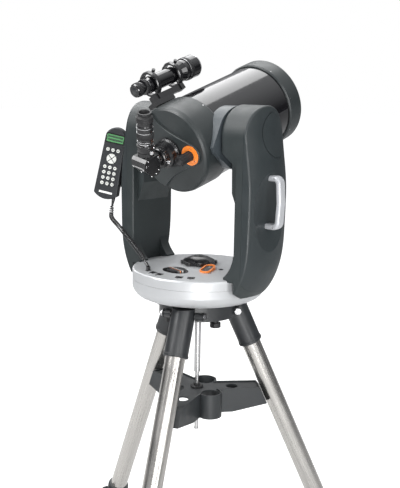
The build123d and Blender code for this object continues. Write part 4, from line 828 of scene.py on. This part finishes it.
piece("port_contacts", port_contacts, "gold", "fork")
piece("port_frames", port_frames, "black_plastic", "fork")
piece("port_marks", port_marks, "black_plastic", "fork")
piece("badge_surround", badge_surround, "gloss_black", "fork")
piece("seam_gasket", seam_gasket, "black_rubber", "fork")
piece("knob_grips", knob_grips, "silver_knob", "azimuth_lock_knob")
piece("knob_crown", knob_crown, "black_metal", "azimuth_lock_knob")
piece("rocker_marks", rocker_marks, "white_print", "power_rocker")


# ---------------------------------------------------------------- hand control
CASE_FACE, KEY_TOP = 14.0, 15.9
SCREEN_HEIGHT = 69


def on_control(right, up, out):
    """A point in millimetres to the right of, above and in front of the middle of the hand control."""
    return CONTROL + (CONTROL_RIGHT * right + CONTROL_UP * up + CONTROL_FACING * out) * MM


def label_bar(bm):
    """The plain bar at the foot of the case."""
    prism(bm, on_control(0, -80, CASE_FACE), CONTROL_RIGHT, CONTROL_UP, rounded(38, 5.5, 1.5), 0.4, 0.15)


def screen_bezel(bm):
    outer, inner = rounded(54, 27, 4), rounded(47.6, 20.6, 2)
    rings = []
    for outline, height in ((outer, -0.2), (outer, 0.5), (inner, 0.5), (inner, -1.4)):
        rings.append([bm.verts.new(on_control(a, SCREEN_HEIGHT + b, CASE_FACE + height)) for a, b in outline])
    for a, b in zip(rings, rings[1:] + rings[:1]):
        for i in range(len(a)):
            j = (i + 1) % len(a)
            bm.faces.new((a[i], a[j], b[j], b[i]))


def display_cells(bm):
    """Two rows of blank character cells in the display."""
    start = on_control(0, SCREEN_HEIGHT, 13.25)
    for row in (-4.2, 4.2):
        for k in range(16):
            cell = rounded(1.9, 5.2, 0.3, ((k - 7.5) * 2.65, row), 1)
            prism(bm, start, CONTROL_RIGHT, CONTROL_UP, cell, 0.1)


def case_screws(bm):
    for a, b in ((-22, 84), (22, 84), (-24, -70), (24, -70)):
        screw(bm, on_control(a, b, -13.9), -CONTROL_FACING, 1.8, 0.3)


def strain_relief(bm):
    profile = [(-1, 2.2), (-1, 4.5)]
    for k in range(5):
        low, thinner = 3.2 * k, 0.35 * k
        profile += [(1 + low, 4.4 - thinner), (2.6 + low, 4.3 - thinner), (2.8 + low, 3.7 - thinner),
                    (3.8 + low, 3.7 - thinner)]
    profile.append((17.5, 2.2))
    lathe(bm, CORD_ROUTE[0] + CONTROL_UP * 1.5 * MM, -CONTROL_UP, profile, 28)


def pad_cross(bm):
    """The dark cross between the four quarters of the direction pad."""
    start = on_control(0, 14, KEY_TOP)
    for way in (CONTROL_RIGHT + CONTROL_UP, CONTROL_RIGHT - CONTROL_UP):
        way = way.normalized()
        prism(bm, start, way, CONTROL_FACING.cross(way), rounded(26.6, 1.8, 0.5, steps=2), 0.3)


def key_marks(bm):
    """A short plain bar on each key."""
    bar = rounded(4.4, 1.5, 0.6, steps=2)
    for x in (-14.5, 0, 14.5):
        for y in (38, -10, -25, -40, -55):
            prism(bm, on_control(x, y, KEY_TOP), CONTROL_RIGHT, CONTROL_UP, bar, 0.25)


piece("pad_cross", pad_cross, "control_plastic", "keypad")
piece("key_marks", key_marks, "control_plastic", "keypad")
piece("label_bar", label_bar, "white_print", "hand_control")
piece("screen_bezel", screen_bezel, "black_metal", "hand_control")
piece("display_cells", display_cells, "control_plastic", "hand_control")
piece("case_screws", case_screws, "dark_steel", "hand_control")
piece("strain_relief", strain_relief, "cord_black", "hand_control")


# ---------------------------------------------------------------- tripod
def boot_ribs(leg):
    """Four soft ribs round the rubber boot of a leg."""
    root, down = leg_line(leg)

    def build(bm):
        for s in (804, 814, 824, 834):
            lathe(bm, root, down, [(s, 22.5), (s, 24.2), (s + 1, 25.0), (s + 4, 25.0), (s + 5, 24.2),
                                   (s + 5, 22.5)], 56)
    return build


def socket_trim(leg):
    """The raised rim at the lower end of a leg's socket."""
    root, down = leg_line(leg)

    def build(bm):
        lathe(bm, root, down, [(84, 30.8), (84, 31.8), (84.8, 32.4), (90.2, 32.4), (91.4, 31.2), (91.8, 26.2),
                               (89, 26.2)], 64)
    return build


def clamp_details(leg):
    """The two raised bands of a leg's clamp collar."""
    root, down = leg_line(leg)

    def build(bm):
        for s, ease, crest in ((722, 0.8, 32.4), (766, 0.6, 32.3)):
            lathe(bm, root, down, [(s, 31.2), (s, crest - 0.4), (s + ease, crest), (s + 4 - ease, crest),
                                   (s + 4, crest - 0.4), (s + 4, 31.2)], 64)
    return build


def pivot_bosses(bm):
    """Cast bosses of the head, between its ears and the heads of the leg bolts."""
    for leg in "abc":
        pivot, axis = at(f"leg_{leg}_fold"), along(f"leg_{leg}_fold")
        for side in (-1, 1):
            lathe(bm, pivot, axis * side, [(34, 5.1), (34, 10.5), (50, 9.5), (54, 8.6), (54.9, 7.5),
                                           (54.9, 5.1)], 40)
            lathe(bm, pivot, axis * side, [(55.1, 9.1), (55.1, 10.4), (56.4, 10.4), (57, 9.1)], 40)


piece("pivot_bosses", pivot_bosses, "casting", "tripod")
for leg in "abc":
    piece(f"boot_ribs_{leg}", boot_ribs(leg), "black_rubber", f"foot_{leg}")
    piece(f"socket_trim_{leg}", socket_trim(leg), "casting", f"leg_{leg}")
    piece(f"clamp_trim_{leg}", clamp_details(leg), "tray_plastic", f"leg_{leg}")


def rod_collar(bm):
    seat = Vector((CENTRE.x, CENTRE.y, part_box("accessory_tray")[1].z))
    lathe(bm, seat, UP, [(-3.6, 5.6), (-3.6, 17), (1.0, 17), (2.4, 15.6), (2.4, 9), (9, 8), (9, 5.6)],
          teeth=20, depth=0.8)


piece("rod_collar", rod_collar, "black_plastic", "tray")


def handle_screws(bm):
    for side in (-1, 1):
        for height in (136, 254):
            screw(bm, near_base(side * 244, -9.3, height), Vector((0, -1, 0)), 2.6, 0.4)


piece("handle_screws", handle_screws, "dark_steel", "fork")

# ---------------------------------------------------------------- floor and light
FLOOR_GLOW = 0.72
LOW_SKY, HIGH_SKY = (0.06, 0.06, 0.065, 1), (0.85, 0.86, 0.88, 1)
floor_mesh = bpy.data.meshes.new("floor")
floor_bm = bmesh.new()
bmesh.ops.create_circle(floor_bm, cap_ends=True, radius=40, segments=96)
floor_bm.to_mesh(floor_mesh)
floor_bm.free()
floor = bpy.data.objects.new("floor", floor_mesh)
bpy.context.scene.collection.objects.link(floor)
floor_look = finish("floor", (0.5, 0.5, 0.5), 0.85, vary=0.01, grain=200, grain_depth=0.02)
glow = floor_look.node_tree.nodes["Principled BSDF"].inputs
glow["Emission Color"].default_value = (1, 1, 1, 1)
floor_seen = floor_look.node_tree.nodes.new("ShaderNodeLightPath").outputs["Is Camera Ray"]
brightness = floor_look.node_tree.nodes.new("ShaderNodeMath")
brightness.operation = "MULTIPLY"
brightness.inputs[1].default_value = FLOOR_GLOW
floor_look.node_tree.links.new(floor_seen, brightness.inputs[0])
floor_look.node_tree.links.new(brightness.outputs[0], glow["Emission Strength"])
floor_mesh.materials.append(floor_look)

world = bpy.data.worlds.new("studio")
bpy.context.scene.world = world
world.use_nodes = True
sky = world.node_tree
background = sky.nodes["Background"]
height = sky.nodes.new("ShaderNodeSeparateXYZ")
sky.links.new(sky.nodes.new("ShaderNodeTexCoord").outputs["Generated"], height.inputs[0])
gradient = sky.nodes.new("ShaderNodeValToRGB")
for element, position, color in zip(gradient.color_ramp.elements, (0.12, 0.8), (LOW_SKY, HIGH_SKY)):
    element.position, element.color = position, color
sky.links.new(height.outputs["Z"], gradient.inputs["Fac"])
seen = sky.nodes.new("ShaderNodeLightPath")
choose = sky.nodes.new("ShaderNodeMix")
choose.data_type = "RGBA"
sky.links.new(seen.outputs["Is Camera Ray"], choose.inputs["Factor"])
sky.links.new(gradient.outputs["Color"], choose.inputs["A"])
choose.inputs["B"].default_value = (1, 1, 1, 1)
sky.links.new(choose.outputs["Result"], background.inputs["Color"])
background.inputs["Strength"].default_value = 1.0
bpy.context.scene.view_settings.view_transform = "Standard"


def softbox(name, place, target, width, height, power):
    """A rectangular studio light that faces a point."""
    data = bpy.data.lights.new(name, "AREA")
    data.shape = "RECTANGLE"
    data.size, data.size_y, data.energy = width, height, power
    light = bpy.data.objects.new(name, data)
    bpy.context.scene.collection.objects.link(light)
    light.location = place
    light.rotation_euler = (target - place).to_track_quat("-Z", "Y").to_euler()


middle = near_base(0, 0, 200)
overhead = middle + Vector((-1.75, 0.9, 2.3))
softbox("key", middle + Vector((-1.2, -2.6, 2.2)), middle, 1.8, 1.8, 105)
softbox("top", overhead, overhead - UP, 3.6, 3.4, 95)
softbox("side", middle + Vector((3.0, -0.4, 0.6)), middle, 0.9, 2.6, 30)
softbox("rim", middle + Vector((-2.6, 0.6, 0.9)), middle, 0.7, 2.4, 22)
softbox("fill", middle + Vector((2.3, -2.2, -0.3)), middle - UP * 0.3, 1.1, 1.8, 75)
